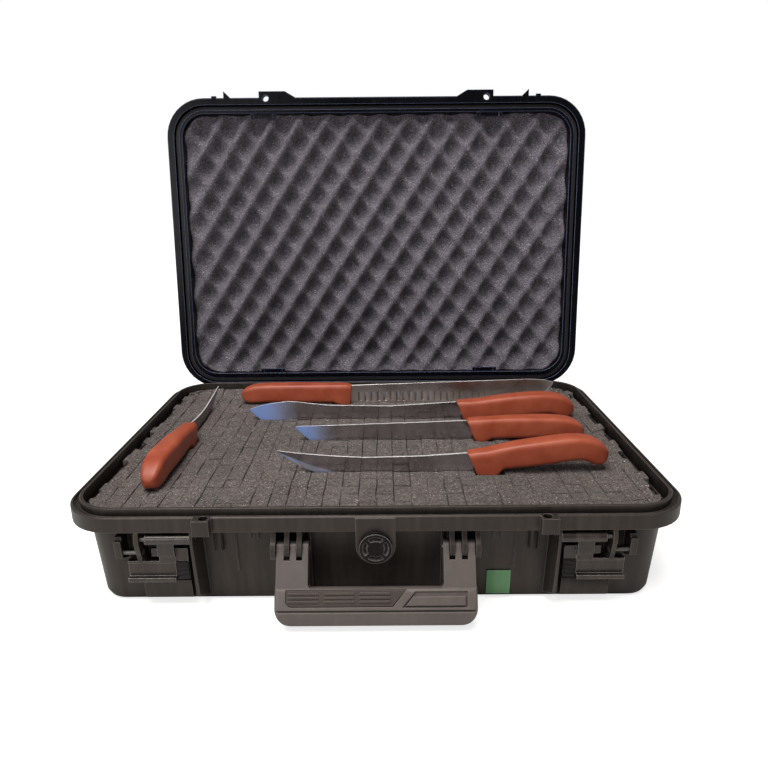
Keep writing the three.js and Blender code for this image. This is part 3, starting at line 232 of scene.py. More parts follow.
def makeEdgeWearAndPaintedLight(look):  # masks along sharp edges for wear with a painted highlight, painted shade in narrow gaps, and the rounded normal at the edges
    group, given, result = newGroup(
        "edgeWearAndPaintedLight",
        {"Radius": 0.0006},
        {"Mask": "NodeSocketFloat", "Normal": "NodeSocketVector", "PaintedGapShade": "NodeSocketFloat"},
    )
    samples = look["samples"]
    rounded = addNode(group, "ShaderNodeBevel", {"Radius": given.outputs["Radius"]}, samples=samples)
    plain = addNode(group, "ShaderNodeNewGeometry")
    normals = {0: rounded.outputs[0], 1: plain.outputs["Normal"]}
    dot = addNode(group, "ShaderNodeVectorMath", normals, operation="DOT_PRODUCT")
    gapShade = addNode(group, "ShaderNodeAmbientOcclusion", {"Distance": look["gapReach"]}, samples=samples)
    group.links.new(addRange(group, dot.outputs["Value"], *look["wearAndHighlightRange"]), result.inputs["Mask"])
    group.links.new(rounded.outputs[0], result.inputs["Normal"])
    group.links.new(addRange(group, gapShade.outputs["AO"], *look["gapShadeRange"]), result.inputs["PaintedGapShade"])
    return group


def makeFoamCells(look):  # open pores darkened with painted shade, bright cell walls, painted glints and slow changes of tone
    group, given, result = newGroup(
        "foamCells",
        {"Glints": 1.0},
        {"Shade": "NodeSocketFloat", "Glint": "NodeSocketFloat", "Tone": "NodeSocketFloat"},
    )
    where = addNode(group, "ShaderNodeTexCoord").outputs["Object"]
    pores = addNode(group, "ShaderNodeTexVoronoi", {"Vector": where, "Scale": look["pores"]})
    fine = addNoise(group, where, look["fine"], 3.0, 0.7)
    clumps = addNoise(group, where, look["clumps"], 3.0, 0.65)
    slow = addNoise(group, where, look["slow"], 3.0)
    sparkle = addNode(group, "ShaderNodeTexVoronoi", {"Vector": where, "Scale": look["sparkle"]})
    shade = addMath(group, "MULTIPLY", addRange(group, pores.outputs["Distance"], *look["poreRange"]),
                    addRange(group, fine, *look["fineRange"]))
    shade = addMath(group, "MULTIPLY", shade, addRange(group, clumps, *look["clumpRange"]))
    pick = addNode(group, "ShaderNodeSeparateColor", {"Color": sparkle.outputs["Color"]}).outputs["Red"]
    chosen = addMath(group, "MULTIPLY", addRange(group, pick, *look["chosenRange"]),
                     addRange(group, sparkle.outputs["Distance"], *look["glintRange"]))
    group.links.new(shade, result.inputs["Shade"])
    group.links.new(addMath(group, "MULTIPLY", chosen, given.outputs["Glints"]), result.inputs["Glint"])
    group.links.new(addRange(group, slow, *look["slowRange"]), result.inputs["Tone"])
    return group


mouldGrain = makeMouldGrain(grainLook)
edgeWearAndPaintedLight = makeEdgeWearAndPaintedLight(edgeLook)
foamCells = makeFoamCells(foamLook)
print("stage: shader groups built")


# Finishes, with tones as seen on screen
# the edge share lightens edges with wear and a painted highlight; the gap share and near-black gap tone paint
# shade into narrow gaps
plasticLook = {
    "wear": 0.25, "edge": 0.6, "bevel": 0.001, "bump": 0.1, "bumpHeight": 0.0003, "specular": 0.36,
    "shine": (255, 244, 236), "gapShade": 0.85, "gapShadeTone": (6, 5, 5), "mottle": 0.5, "mottleLift": 1.22,
    "scuff": 0.3, "roughnessSpan": 0.12,
}
padLook = {"lowTone": 0.8, "lowShare": 0.22, "specular": 0.15, "bumpHeight": 0.0008}
steelLook = {
    "cloud": 24.0, "cloudRange": (0.25, 0.75, 0.0, 0.65), "lineShare": 0.35, "roughFrom": -0.05,
    "roughTo": 0.06, "bump": 0.06, "bumpHeight": 0.0002,
}
# the pale spine tone is a painted highlight, the bluish ground and tip tones a painted reflection, and the
# two side tones painted light and shade across the hollows
bladeLook = {
    "streaks": (160.0, 160.0, 16.0), "bevel": 0.0004, "groundReflectionRange": (-0.04, -0.1),
    "groundReflectionTone": (158, 172, 206), "tipReflectionTone": (142, 168, 228), "spineHighlightRange": (0.5, 0.8),
    "spineHighlightTone": (226, 222, 220),
    "hollowShadingRange": (0.08, 0.2, 0.0, 0.8), "litSideRange": (-0.3, 0.3), "litSide": (255, 252, 248),
    "shadedSide": (96, 86, 80), "paintedLightMetallic": 0.3,
}
gripLook = {
    "fine": 1300.0, "slow": 55.0, "slowRange": (0.32, 0.68), "tones": ((146, 63, 40), (165, 81, 54)),
    "speckRange": (0.62, 0.75, 0.0, 0.18), "speckTone": (200, 120, 94), "roughRange": (0.3, 0.7, 0.4, 0.5),
    "bump": 0.22, "bumpHeight": 0.0003,
}


def makePlastic(name, base, wearAndHighlightTone, roughness, **changes):
    look = plasticLook | changes
    material, tree, shader = newMaterial(name, IOR=1.48, Specular_IOR_Level=look["specular"])
    shader.inputs["Specular Tint"].default_value = tone(*look["shine"])
    grain = placeGroup(tree, mouldGrain, Marks=look["wear"])
    edges = placeGroup(tree, edgeWearAndPaintedLight, Radius=look["bevel"])
    mottled = scaledTone(base, look["mottleLift"])
    colour = blendOver(tree, grain.outputs["Mottle"], look["mottle"], tone(*base), mottled)
    colour = blendOver(tree, grain.outputs["Scuff"], look["scuff"], colour, tone(*wearAndHighlightTone))
    # painted shade: the colour goes towards near-black in narrow gaps and crevices
    colour = blendOver(tree, edges.outputs["PaintedGapShade"], look["gapShade"], colour, tone(*look["gapShadeTone"]))
    # the edges go towards the pale tone: partly real edge wear, partly a painted highlight
    colour = blendOver(tree, edges.outputs["Mask"], look["edge"], colour, tone(*wearAndHighlightTone))
    span = look["roughnessSpan"]
    rough = addMath(tree, "MULTIPLY_ADD", grain.outputs["Mottle"], span, roughness - span / 2)
    relief = {"Height": grain.outputs["Height"], "Normal": edges.outputs["Normal"], "Strength": look["bump"],
              "Distance": look["bumpHeight"]}
    tree.links.new(colour, shader.inputs["Base Color"])
    tree.links.new(rough, shader.inputs["Roughness"])
    tree.links.new(addNode(tree, "ShaderNodeBump", relief).outputs[0], shader.inputs["Normal"])
    return material


def makeFoam(name, dark, light, glint, bump, glints=1.0):
    look = padLook
    material, tree, shader = newMaterial(name, Roughness=1.0, Specular_IOR_Level=look["specular"])
    cells = placeGroup(tree, foamCells, Glints=glints)
    colour = mixColour(tree, cells.outputs["Shade"], tone(*dark), tone(*light))
    low = scaledTone(dark, look["lowTone"])
    colour = blendOver(tree, cells.outputs["Tone"], look["lowShare"], colour, low)
    # painted glints: chosen cells go to a near-white tone
    colour = mixColour(tree, cells.outputs["Glint"], colour, tone(*glint))
    relief = {"Height": cells.outputs["Shade"], "Strength": bump, "Distance": look["bumpHeight"]}
    tree.links.new(colour, shader.inputs["Base Color"])
    tree.links.new(addNode(tree, "ShaderNodeBump", relief).outputs[0], shader.inputs["Normal"])
    return material


def makeSteel(name, dark, light, roughness, streaks, bevel, metallic=1.0):
    look = steelLook
    material, tree, shader = newMaterial(name, Metallic=metallic)
    where = addNode(tree, "ShaderNodeTexCoord").outputs["Object"]
    edges = placeGroup(tree, edgeWearAndPaintedLight, Radius=bevel)
    drawn = addNode(tree, "ShaderNodeMapping", {"Vector": where, "Scale": streaks})
    lines = addNoise(tree, drawn.outputs[0], 1.0, 5.0)
    cloud = addNoise(tree, where, look["cloud"], 2.0)
    clouded = addRange(tree, cloud, *look["cloudRange"])
    blend = addMath(tree, "MULTIPLY_ADD", lines, look["lineShare"], clouded)
    rough = addRange(tree, cloud, 0.3, 0.7, roughness + look["roughFrom"], roughness + look["roughTo"])
    relief = {"Height": lines, "Normal": edges.outputs["Normal"], "Strength": look["bump"],
              "Distance": look["bumpHeight"]}
    tree.links.new(mixColour(tree, blend, tone(*dark), tone(*light)), shader.inputs["Base Color"])
    tree.links.new(rough, shader.inputs["Roughness"])
    tree.links.new(addNode(tree, "ShaderNodeBump", relief).outputs[0], shader.inputs["Normal"])
    return material, tree, shader


def makeBlade(name, dark, light, roughness):  # painted highlight on the spine, painted bluish reflection on the tip and the ground edge, painted light and shade across the hollows
    look = bladeLook
    material, tree, shader = makeSteel(name, dark, light, roughness, look["streaks"], look["bevel"])
    normal = addNode(tree, "ShaderNodeTexCoord").outputs["Normal"]
    facing = addNode(tree, "ShaderNodeSeparateXYZ", {0: normal})
    # painted bluish reflection over the tip, from a share stored on the mesh
    tip = addNode(tree, "ShaderNodeAttribute", attribute_name="tipReflectionShare").outputs["Fac"]
    # painted reflection on the downward-facing ground edge
    groundReflection = addRange(tree, facing.outputs["Z"], *look["groundReflectionRange"])
    # painted highlight on the upward-facing spine
    spineHighlight = addRange(tree, facing.outputs["Z"], *look["spineHighlightRange"])
    # painted light and shade across the hollows: one side lit, the other shaded
    hollowShading = addRange(tree, addMath(tree, "ABSOLUTE", facing.outputs["X"]), *look["hollowShadingRange"])
    side = addRange(tree, facing.outputs["X"], *look["litSideRange"])
    colour = shader.inputs["Base Color"].links[0].from_socket
    litAndShadedStripes = mixColour(tree, side, tone(*look["litSide"]), tone(*look["shadedSide"]))
    colour = mixColour(tree, hollowShading, colour, litAndShadedStripes)
    colour = mixColour(tree, groundReflection, colour, tone(*look["groundReflectionTone"]))
    colour = mixColour(tree, tip, colour, tone(*look["tipReflectionTone"]))
    colour = mixColour(tree, spineHighlight, colour, tone(*look["spineHighlightTone"]))
    # the metal is turned down where the painted light shows
    paintedLight = addMath(tree, "MAXIMUM", addMath(tree, "MAXIMUM", groundReflection, tip), spineHighlight)
    tree.links.new(colour, shader.inputs["Base Color"])
    tree.links.new(addRange(tree, paintedLight, 0, 1, 1, look["paintedLightMetallic"]), shader.inputs["Metallic"])
    return material


def makeGrip(name):
    look = gripLook
    material, tree, shader = newMaterial(name, IOR=1.46)
    where = addNode(tree, "ShaderNodeTexCoord").outputs["Object"]
    fine = addNoise(tree, where, look["fine"], 3.0)
    slow = addNoise(tree, where, look["slow"], 4.0)
    dark, light = (tone(*colour) for colour in look["tones"])
    colour = mixColour(tree, addRange(tree, slow, *look["slowRange"]), dark, light)
    colour = mixColour(tree, addRange(tree, fine, *look["speckRange"]), colour, tone(*look["speckTone"]))
    relief = {"Height": fine, "Strength": look["bump"], "Distance": look["bumpHeight"]}
    tree.links.new(colour, shader.inputs["Base Color"])
    tree.links.new(addRange(tree, slow, *look["roughRange"]), shader.inputs["Roughness"])
    tree.links.new(addNode(tree, "ShaderNodeBump", relief).outputs[0], shader.inputs["Normal"])
    return material


finishes = {
    "shell": makePlastic("shellPlastic", (40, 35, 32), (128, 119, 114), 0.38),
    # the lid's bluish pale tone is a painted highlight along its edges
    "lid": makePlastic("lidPlastic", (5, 5, 8), (120, 131, 166), 0.2,
                       wear=0.03, edge=0.85, bump=0.03, specular=0.12),
    # the handle's plastic is lighter than the shell's, partly as painted light for the extra light its upward
    # faces catch
    "handle": makePlastic("handlePlastic", (84, 77, 74), (140, 132, 128), 0.42, edge=0.4),
    # the latch's pale tone serves its scuffs and, on the edges, a painted highlight along the barrel
    "latch": makePlastic("latchPlastic", (38, 33, 31), (184, 176, 170), 0.28,
                         wear=0.15, edge=0.9, bevel=0.0008, specular=0.6),
    # the cap's pale tone serves its scuffs and, on the edges, a painted highlight round the rim ring
    "cap": makePlastic("capPlastic", (7, 6, 6), (150, 143, 140), 0.32,
                       wear=0.1, edge=0.9, bevel=0.0012, specular=0.16),
    "rubber": makePlastic("sealRubber", (19, 19, 21), (50, 50, 54), 0.6, wear=0.2, bump=0.2),
    "inlay": makePlastic("inlayRubber", (58, 51, 48), (112, 103, 98), 0.6, wear=0.2, edge=0.5, bump=0.25),
    "green": makePlastic("greenPlate", (82, 126, 86), (158, 182, 150), 0.5, wear=0.5, bump=0.08),
    "tubFoam": makeFoam("tubFoam", (34, 30, 29), (144, 134, 130), (232, 226, 220), 1.0),
    "lidFoam": makeFoam("lidFoam", (31, 29, 38), (137, 130, 139), (214, 208, 202), 0.8, glints=1.2),
    "blade": makeBlade("bladeSteel", (160, 154, 156), (218, 215, 219), 0.18),
    "paleBlade": makeBlade("paleBladeSteel", (228, 218, 212), (252, 248, 246), 0.28),
    "pin": makeSteel("pinSteel", (70, 66, 64), (112, 106, 102), 0.42, (30.0, 900.0, 900.0), 0.0003, 0.6)[0],
    "grip": makeGrip("gripRubber"),
}
print("stage: finishes made")


# Floor and background
stageLook = {
    "floorSize": 12, "floorDrop": 0.0004, "roughness": 0.9, "specular": 0.1, "cloud": 2.0,
    "tones": ((212, 210, 207), (220, 218, 215)), "glowRange": (0.5, 1.6, 0.72, 1.0),
}


def seenDirectly(tree):
    paths = addNode(tree, "ShaderNodeLightPath")
    return addMath(tree, "MAXIMUM", paths.outputs["Is Camera Ray"], paths.outputs["Is Transmission Ray"])


def makeFloor(look):
    bpy.ops.mesh.primitive_plane_add(size=look["floorSize"], location=(0, 0, -look["floorDrop"]))
    floor = bpy.context.object
    floor.name = "studioFloor"
    material, tree, shader = newMaterial("paleFloor", Roughness=look["roughness"])
    shader.inputs["Specular IOR Level"].default_value = look["specular"]
    where = addNode(tree, "ShaderNodeTexCoord").outputs["Object"]
    cloud = addNode(tree, "ShaderNodeTexNoise", {"Vector": where, "Scale": look["cloud"]})
    dark, light = (tone(*colour) for colour in look["tones"])
    tree.links.new(mixColour(tree, cloud.outputs["Fac"], dark, light), shader.inputs["Base Color"])
    away = addNode(tree, "ShaderNodeVectorMath", {0: where}, operation="LENGTH").outputs["Value"]
    strength = addRange(tree, away, *look["glowRange"])  # the far floor is plain white
    glow = addNode(tree, "ShaderNodeEmission", {"Color": (1, 1, 1, 1), "Strength": strength})
    both = addNode(tree, "ShaderNodeAddShader", {0: shader.outputs[0], 1: glow.outputs[0]})
    choice = {0: seenDirectly(tree), 1: shader.outputs[0], 2: both.outputs[0]}
    pick = addNode(tree, "ShaderNodeMixShader", choice)
    tree.links.new(pick.outputs[0], tree.nodes["Material Output"].inputs["Surface"])
    floor.data.materials.append(material)


def makeWorld(ambient):
    world = bpy.data.worlds.new("studioWorld")
    bpy.context.scene.world = world
    world.use_nodes = True
    tree = world.node_tree
    tree.nodes.clear()
    strength = addRange(tree, seenDirectly(tree), 0, 1, ambient, 1.0)
    light = addNode(tree, "ShaderNodeBackground", {"Color": (1, 1, 1, 1), "Strength": strength})
    end = addNode(tree, "ShaderNodeOutputWorld")
    tree.links.new(light.outputs[0], end.inputs["Surface"])


deselect()
makeFloor(stageLook)
makeWorld(lightSetup["worldAmbient"])
print("stage: floor and background ready")


# Dressed copies of the rigid solids
dressing = {"weld": 0.02 * mm, "flatAngle": 0.6, "bevelAngle": 40, "smoothAngle": 22}


def dressCopy(nodeName, body, finish, bevel=0.0, merge=True):
    deselect()
    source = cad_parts[nodeName]
    piece = bpy.data.objects.new(nodeName + "_dressed", source.data.copy())
    bpy.context.scene.collection.objects.link(piece)
    bpy.context.view_layer.objects.active = piece
    piece.select_set(True)
    bpy.ops.object.mode_set(mode="EDIT")
    bpy.ops.mesh.select_all(action="SELECT")
    bpy.ops.mesh.remove_doubles(threshold=dressing["weld"])
    if merge:
        bpy.ops.mesh.dissolve_limited(angle_limit=math.radians(dressing["flatAngle"]))
    bpy.ops.object.mode_set(mode="OBJECT")
    if bevel:
        modifier = piece.modifiers.new("softEdges", "BEVEL")
        modifier.width = bevel
        modifier.segments = 2
        modifier.limit_method = "ANGLE"
        modifier.angle_limit = math.radians(dressing["bevelAngle"])
        modifier.use_clamp_overlap = True
        bpy.ops.object.modifier_apply(modifier=modifier.name)
    bpy.ops.object.shade_smooth_by_angle(angle=math.radians(dressing["smoothAngle"]))
    modifier = piece.modifiers.new("flatFaces", "WEIGHTED_NORMAL")
    modifier.keep_sharp = True
    bpy.ops.object.modifier_apply(modifier=modifier.name)
    piece.data.materials.clear()
    piece.data.materials.append(finishes[finish])
    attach(piece, body)
    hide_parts(nodeName)
    return piece


def wearFinish(nodeName, finish):  # a small CAD node that keeps its own mesh
    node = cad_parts[nodeName]
    node.data.materials.clear()
    node.data.materials.append(finishes[finish])


dressCopy("base_shell", "base", "shell")
dressCopy("lid_shell", "lid", "lid")
dressCopy("lid_gasket", "lid", "rubber")
dressCopy("valve_cap", "cap", "cap", bevel=0.0004)
dressCopy("valve_body", "base", "cap")
dressCopy("handle_frame", "handle", "handle", bevel=0.0006)
dressCopy("handle_inlay", "handle", "inlay", bevel=0.0003)
dressCopy("label_plate", "base", "green", bevel=0.0003)
for side in ("left", "right"):
    dressCopy(f"latch_{side}", f"{side}_latch", "latch", bevel=0.0004)
    dressCopy(f"latch_pad_{side}", f"{side}_latch", "rubber", bevel=0.0002)
    for pin in ("hinge", "latch", "handle", "strap"):
        wearFinish(f"{pin}_pin_{side}", "pin")
for number in range(1, 5):
    dressCopy(f"foam_clip_{number}", "lid", "lid", bevel=0.0003)
wearFinish("valve_seal", "rubber")
wearFinish("valve_nut", "shell")
knifeNames = ("slicing_knife", "butcher_knife", "trimming_knife", "boning_knife", "curved_knife")
tipReflectionLengths = {"butcher_knife": 52, "trimming_knife": 36}  # of the painted bluish reflection on the tips, in millimetres
tipReflectionFade = 1.6  # the painted reflection is full over the first part of that length


# painted bluish reflection: a share that is full at the tip and fades along the blade
def markTipReflection(piece, length):
    places = [vertex.co.x for vertex in piece.data.vertices]
    tip = min(places)
    shares = piece.data.attributes.new("tipReflectionShare", "FLOAT", "POINT")
    for item, place in zip(shares.data, places):
        item.value = max(0.0, min(1.0, tipReflectionFade * (1 - (place - tip) / (length * mm))))


for name in knifeNames:
    finish = "paleBlade" if name == "slicing_knife" else "blade"
    blade = dressCopy(f"{name}_blade", name, finish, merge=False)
    if name in tipReflectionLengths:
        markTipReflection(blade, tipReflectionLengths[name])
print("stage: rigid pieces dressed")


# Knife handles, each grown station by station along the knife
knives = {
    "slicing_knife": {
        "at": (-32, 124.2), "turn": 0, "width": 18,
        "top": [(0, 21), (-5, 22.8), (-14, 23.1), (-26, 23.1), (-44, 23.3), (-66, 23.5), (-88, 23.6),
                (-106, 23.3), (-120, 22), (-130, 17), (-133, 11.5)],
        "bottom": [(-2, -3), (-4, -5), (-13, -5), (-22, 0.2), (-44, 0.6), (-66, 0.7), (-88, 1.2),
                   (-104, 1.8), (-118, 0.2), (-128, 1.2), (-132.5, 6.5)],
    },
    "butcher_knife": {
        "at": (88, 66.5), "turn": 180, "width": 20,
        "top": [(0, 19.4), (-5, 20), (-14, 20.6), (-26, 21.5), (-44, 24.3), (-64, 27), (-88, 28.8),
                (-103, 28.6), (-118, 26), (-128, 19), (-131.5, 12.5)],
        "bottom": [(-9, -4), (-12, -6), (-22, -6), (-30, 0.8), (-44, 1.8), (-64, 2.2), (-88, 4.2),
                   (-105, 7), (-115, 1.4), (-125, 0.8), (-131, 6)],
    },
    "trimming_knife": {
        "at": (92, 4.6), "turn": 180, "width": 19,
        "top": [(0, 20), (-4, 21.2), (-15, 22), (-26, 22.6), (-42, 23.4), (-60, 23.9), (-82, 23.8),
                (-98, 23), (-110, 20.4), (-118.5, 14), (-121, 9)],
        "bottom": [(-9, -3), (-11, -5), (-18, -5), (-25, 0.2), (-42, 1.2), (-60, 1.5), (-82, 2.2),
                   (-96, 3.6), (-107, 2.6), (-117, 1.2), (-120.6, 4.6)],
    },
    "boning_knife": {
        "at": (83, -73.6), "turn": 180, "width": 20,
        "top": [(0, 17.8), (-5, 18.8), (-18, 20.8), (-31, 23.8), (-46, 27), (-67, 30.2), (-86, 32.7),
                (-98, 33.5), (-112, 32.4), (-123, 26.5), (-129, 18)],
        "bottom": [(-10.5, -6), (-13, -8), (-25, -8), (-33, 2.4), (-48, 4.2), (-68, 6.4), (-90, 10.2),
                   (-105, 12.2), (-113, 7.2), (-122, 5), (-128.6, 10.5)],
    },
    "curved_knife": {
        "at": (-195, 13), "turn": 90, "width": 21,
        "top": [(0, 16.4), (-5, 17.4), (-18, 18.8), (-31, 20.4), (-47, 22.4), (-69, 24.2), (-88, 25.8),
                (-101, 26.2), (-114, 24.8), (-125, 19.5), (-131, 12.5)],
        "bottom": [(-9, -5), (-12, -7), (-22, -7), (-31, 1), (-48, 1.8), (-69, 2.4), (-90, 3.4),
                   (-103, 4), (-114, 1.6), (-124, 0.8), (-130.6, 5.5)],
    },
}
handleShape = {
    "widths": (0.72, 0.82, 0.9, 0.86, 0.93, 1, 1, 0.98, 0.93, 0.78, 0.46),
    "cornerRound": 0.46,
    "frontShare": 0.84,
    "crispPairs": 4,
    "crispShares": (0.14, 0.86),
    "cornerSteps": 4,
    "levels": 2,
}


def crossSection(top, low, halfWidth):  # centre, half width, half height and lean
    centre = Vector(((top[0] + low[0]) / 2 * mm, 0, (top[1] + low[1]) / 2 * mm))
    half = math.hypot(top[0] - low[0], top[1] - low[1]) / 2 * mm
    return centre, halfWidth * mm, half, math.atan2(top[0] - low[0], top[1] - low[1])


def sectionsOf(knife):  # extra sections keep the front and its guard crisp
    tops, lows = knife["top"], knife["bottom"]
    widths = [knife["width"] / 2 * share for share in handleShape["widths"]]
    centre, halfWidth, halfHeight, lean = crossSection(tops[0], lows[0], widths[0])
    small = handleShape["frontShare"]
    found = [(centre, halfWidth * small, halfHeight * small, lean)]
    for number in range(len(tops)):
        found.append(crossSection(tops[number], lows[number], widths[number]))
        if number >= handleShape["crispPairs"]:
            continue
        for share in handleShape["crispShares"]:
            between = [
                tuple(a + (b - a) * share for a, b in zip(points[number], points[number + 1]))
                for points in (tops, lows)
            ]
            width = widths[number] + (widths[number + 1] - widths[number]) * share
            found.append(crossSection(between[0], between[1], width))
    return found


def makeKnifeHandle(name, knife):
    deselect()
    bpy.ops.mesh.primitive_plane_add(size=2, rotation=(0, math.pi / 2, 0))
    piece = bpy.context.object
    piece.name = f"{name}_grip"
    bpy.ops.object.transform_apply(location=False, rotation=True, scale=True)
    bpy.ops.object.mode_set(mode="EDIT")
    bpy.ops.mesh.select_all(action="SELECT")
    corner, steps = handleShape["cornerRound"], handleShape["cornerSteps"]
    bpy.ops.mesh.bevel(offset=corner, segments=steps, affect="VERTICES")
    sections = sectionsOf(knife)
    centre, halfWidth, halfHeight, lean = sections[0]
    origin = Vector((0, 0, 0))
    bpy.ops.transform.resize(value=(1, halfWidth, halfHeight), center_override=origin)
    bpy.ops.transform.rotate(value=-lean, orient_axis="Y", center_override=origin)
    bpy.ops.transform.translate(value=centre)
    for nextCentre, nextWidth, nextHeight, nextLean in sections[1:]:
        bpy.ops.mesh.extrude_region_move(TRANSFORM_OT_translate={"value": nextCentre - centre})
        bpy.ops.transform.rotate(value=lean, orient_axis="Y", center_override=nextCentre)
        bpy.ops.transform.resize(value=(1, nextWidth / halfWidth, nextHeight / halfHeight),
                                 center_override=nextCentre)
        bpy.ops.transform.rotate(value=-nextLean, orient_axis="Y", center_override=nextCentre)
        centre, halfWidth, halfHeight, lean = nextCentre, nextWidth, nextHeight, nextLean
    bpy.ops.mesh.select_all(action="SELECT")
    bpy.ops.mesh.normals_make_consistent(inside=False)
    bpy.ops.object.mode_set(mode="OBJECT")
    return piece


def finishHandle(piece, name, knife):
    deselect()
    piece.select_set(True)
    bpy.context.view_layer.objects.active = piece
    smooth = piece.modifiers.new("roundGrip", "SUBSURF")
    smooth.levels = smooth.render_levels = handleShape["levels"]
    bpy.ops.object.modifier_apply(modifier=smooth.name)
    bpy.ops.object.shade_smooth()
    place = Matrix.Translation((knife["at"][0] * mm, knife["at"][1] * mm, foamTop * mm))
    piece.data.transform(place @ Matrix.Rotation(math.radians(knife["turn"]), 4, "Z"))
    piece.data.materials.append(finishes["grip"])
    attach(piece, name)
    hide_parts(f"{name}_handle")


for name, knife in knives.items():
    finishHandle(makeKnifeHandle(name, knife), name, knife)
print("stage: knife handles made")


# Foam pieces
def addFoam(mesh, name, finish, place=None):
    bmesh.ops.recalc_face_normals(mesh, faces=mesh.faces[:])
    data = bpy.data.meshes.new(name)
    mesh.to_mesh(data)
    mesh.free()
    if place is not None:
        data.transform(place)
    piece = bpy.data.objects.new(name, data)
    bpy.context.scene.collection.objects.link(piece)
    data.materials.append(finishes[finish])
    return piece


# Lid foam, a convoluted pad
lidPad = {
    "halfWidth": 253 - 17.65, "halfLength": 176 - 17.65, "corner": 27.85, "centreY": -1,
    "peaks": 98.3, "height": 22, "acrossStep": 17, "alongStep": 22.25, "turn": 4,
    "ridges": (0.72, 0.54), "ridgeShift": 0.15, "shiftRange": (-0.35, 0.35, 1.0), "shiftWidth": 150,
    "ridgePower": 1.7, "pitPower": 1.05, "borderWidth": 24, "borderWave": 0.42,
    "bumps": ((0.16, 3.0, 0.5), (0.03, 9.0, 0.9)), "lowestBump": -0.9, "skin": 1.0,
    "grid": 2.6, "bendSteps": 16, "back": 135.1, "sides": ((127, 3.0), (132.5, 7.5), (135.1, 13.5)),
    "keepWhenShut": 0.5,
}


def halfWidthAt(y, halfWidth, halfLength, corner):  # of a rectangle with round corners
    over = abs(y) - (halfLength - corner)
    if over <= 0:
        return halfWidth
    return halfWidth - corner + math.sqrt(max(corner * corner - over * over, 0))


def lidFoamHeight(x, y, pad):
    turn = math.radians(pad["turn"])
    u = x * math.cos(turn) - y * math.sin(turn)
    v = x * math.sin(turn) + y * math.cos(turn)
    first, second = math.pi * u / pad["acrossStep"], math.pi * v / pad["alongStep"]
    least, middle, most = pad["shiftRange"]  # on the left one family of ridges leads
    shift = pad["ridgeShift"] * max(least, min(most, middle - x / pad["shiftWidth"]))
    leading, other = (
        (0.5 * (1 + math.cos(angle))) ** pad["ridgePower"] for angle in (first + second, first - second)
    )
    leading *= min(1.0, pad["ridges"][0] + shift)
    other *= pad["ridges"][1] - shift
    wave = 1 - 2 * (1 - leading) * (1 - other)
    border = min(pad["halfWidth"] - abs(x), pad["halfLength"] - abs(y)) / pad["borderWidth"]
    fade = pad["borderWave"] + (1 - pad["borderWave"]) * max(0.0, min(1.0, border))
    depth = (0.5 * (1 - wave) * fade) ** pad["pitPower"]
    rough = sum(noise.noise(Vector((x, y, level)) * scale) * size for scale, level, size in pad["bumps"])
    return pad["peaks"] + pad["skin"] + (pad["height"] - pad["skin"]) * depth + max(rough, pad["lowestBump"])


def lidFoamRows(pad):  # closer together round the corners
    straight = pad["halfLength"] - pad["corner"]
    inner = int(2 * straight / pad["grid"])
    steps = pad["bendSteps"]
    bend = [straight + math.sin(math.pi / 2 * k / steps) * pad["corner"] for k in range(1, steps + 1)]
    between = [-straight + 2 * straight * k / inner for k in range(inner + 1)]
    return [-y for y in reversed(bend)] + between + bend


def makeLidFoam(pad):
    columns = int(2 * pad["halfWidth"] / pad["grid"])
    mesh = bmesh.new()
    grid = []
    for y in lidFoamRows(pad):
        half = halfWidthAt(y, pad["halfWidth"], pad["halfLength"], pad["corner"])
        line = []
        for k in range(columns + 1):
            x = half * (2 * k / columns - 1)
            line.append(mesh.verts.new(Vector((x, y + pad["centreY"], lidFoamHeight(x, y, pad))) * mm))
        grid.append(line)
    for low, high in zip(grid, grid[1:]):
        for k in range(columns):
            mesh.faces.new((low[k], high[k], high[k + 1], low[k + 1]))
    edge = grid[0] + [line[-1] for line in grid[1:-1]] + grid[-1][::-1] + [line[0] for line in grid[-2:0:-1]]
    previous = edge
    for height, inset in pad["sides"]:
        ring = []
        for vertex in edge:
            x, y = vertex.co.x / mm, vertex.co.y / mm - pad["centreY"]
            x *= 1 - inset / pad["halfWidth"]
            y *= 1 - inset / pad["halfLength"]
            ring.append(mesh.verts.new(Vector((x, y + pad["centreY"], height)) * mm))
        for k in range(len(edge)):
            after = (k + 1) % len(edge)
            mesh.faces.new((previous[k], previous[after], ring[after], ring[k]))
        previous = ring
    mesh.faces.new(previous)
    piece = addFoam(mesh, "lid_foam_pad", "lidFoam", lidRest)
    for face in piece.data.polygons:
        face.use_smooth = True
    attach(piece, "lid")
    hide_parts("lid_foam")
    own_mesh(piece)


makeLidFoam(lidPad)
print("stage: lid foam made")


# Tub foam, a block cut into squares, with slits for the blades
tubPad = {
    "halfWidth": 240.0, "halfLength": 164.0, "corner": 32.5,
    "lowerHalfWidth": 233.8, "lowerHalfLength": 154.4, "lowerCorner": 23,
    "bottomHalfWidth": 231, "bottomHalfLength": 151.6, "ledge": 79.5, "ledgeDrop": 0.1,
    "bottom": 24.6, "leastDrop": 0.02, "weld": 0.01,
    "cell": 15.0, "cut": 0.5, "inCut": 0.02, "deepFrom": -0.4, "faintFrom": -0.3, "skin": 0.05,
    "raise": ((-1.5, -0.15), 0.7), "deepCuts": ((0.3, 4.6), 1.2), "faintCuts": ((0.1, 3.6), 2.0),
    "raggedSides": ((0.8, 9.0), 1.2), "raggedEnds": ((0.2, 3.6), 1.5), "swell": 5.5, "swellFrom": 22,
    "waver": ((0.045, 0.8), (0.3, 0.16)), "waverLevels": (7.0, 19.0), "calm": 8, "bumps": (0.35, 0.28),
    "slitHalf": 1.45, "slitEdge": 1.75, "slitDepth": 13, "slitEnd": 0.5, "heelSide": 0.3, "heelSlack": 0.6,
    "lineGap": 0.22, "reach": 0.1, "shearReach": 34, "seed": 41,
}
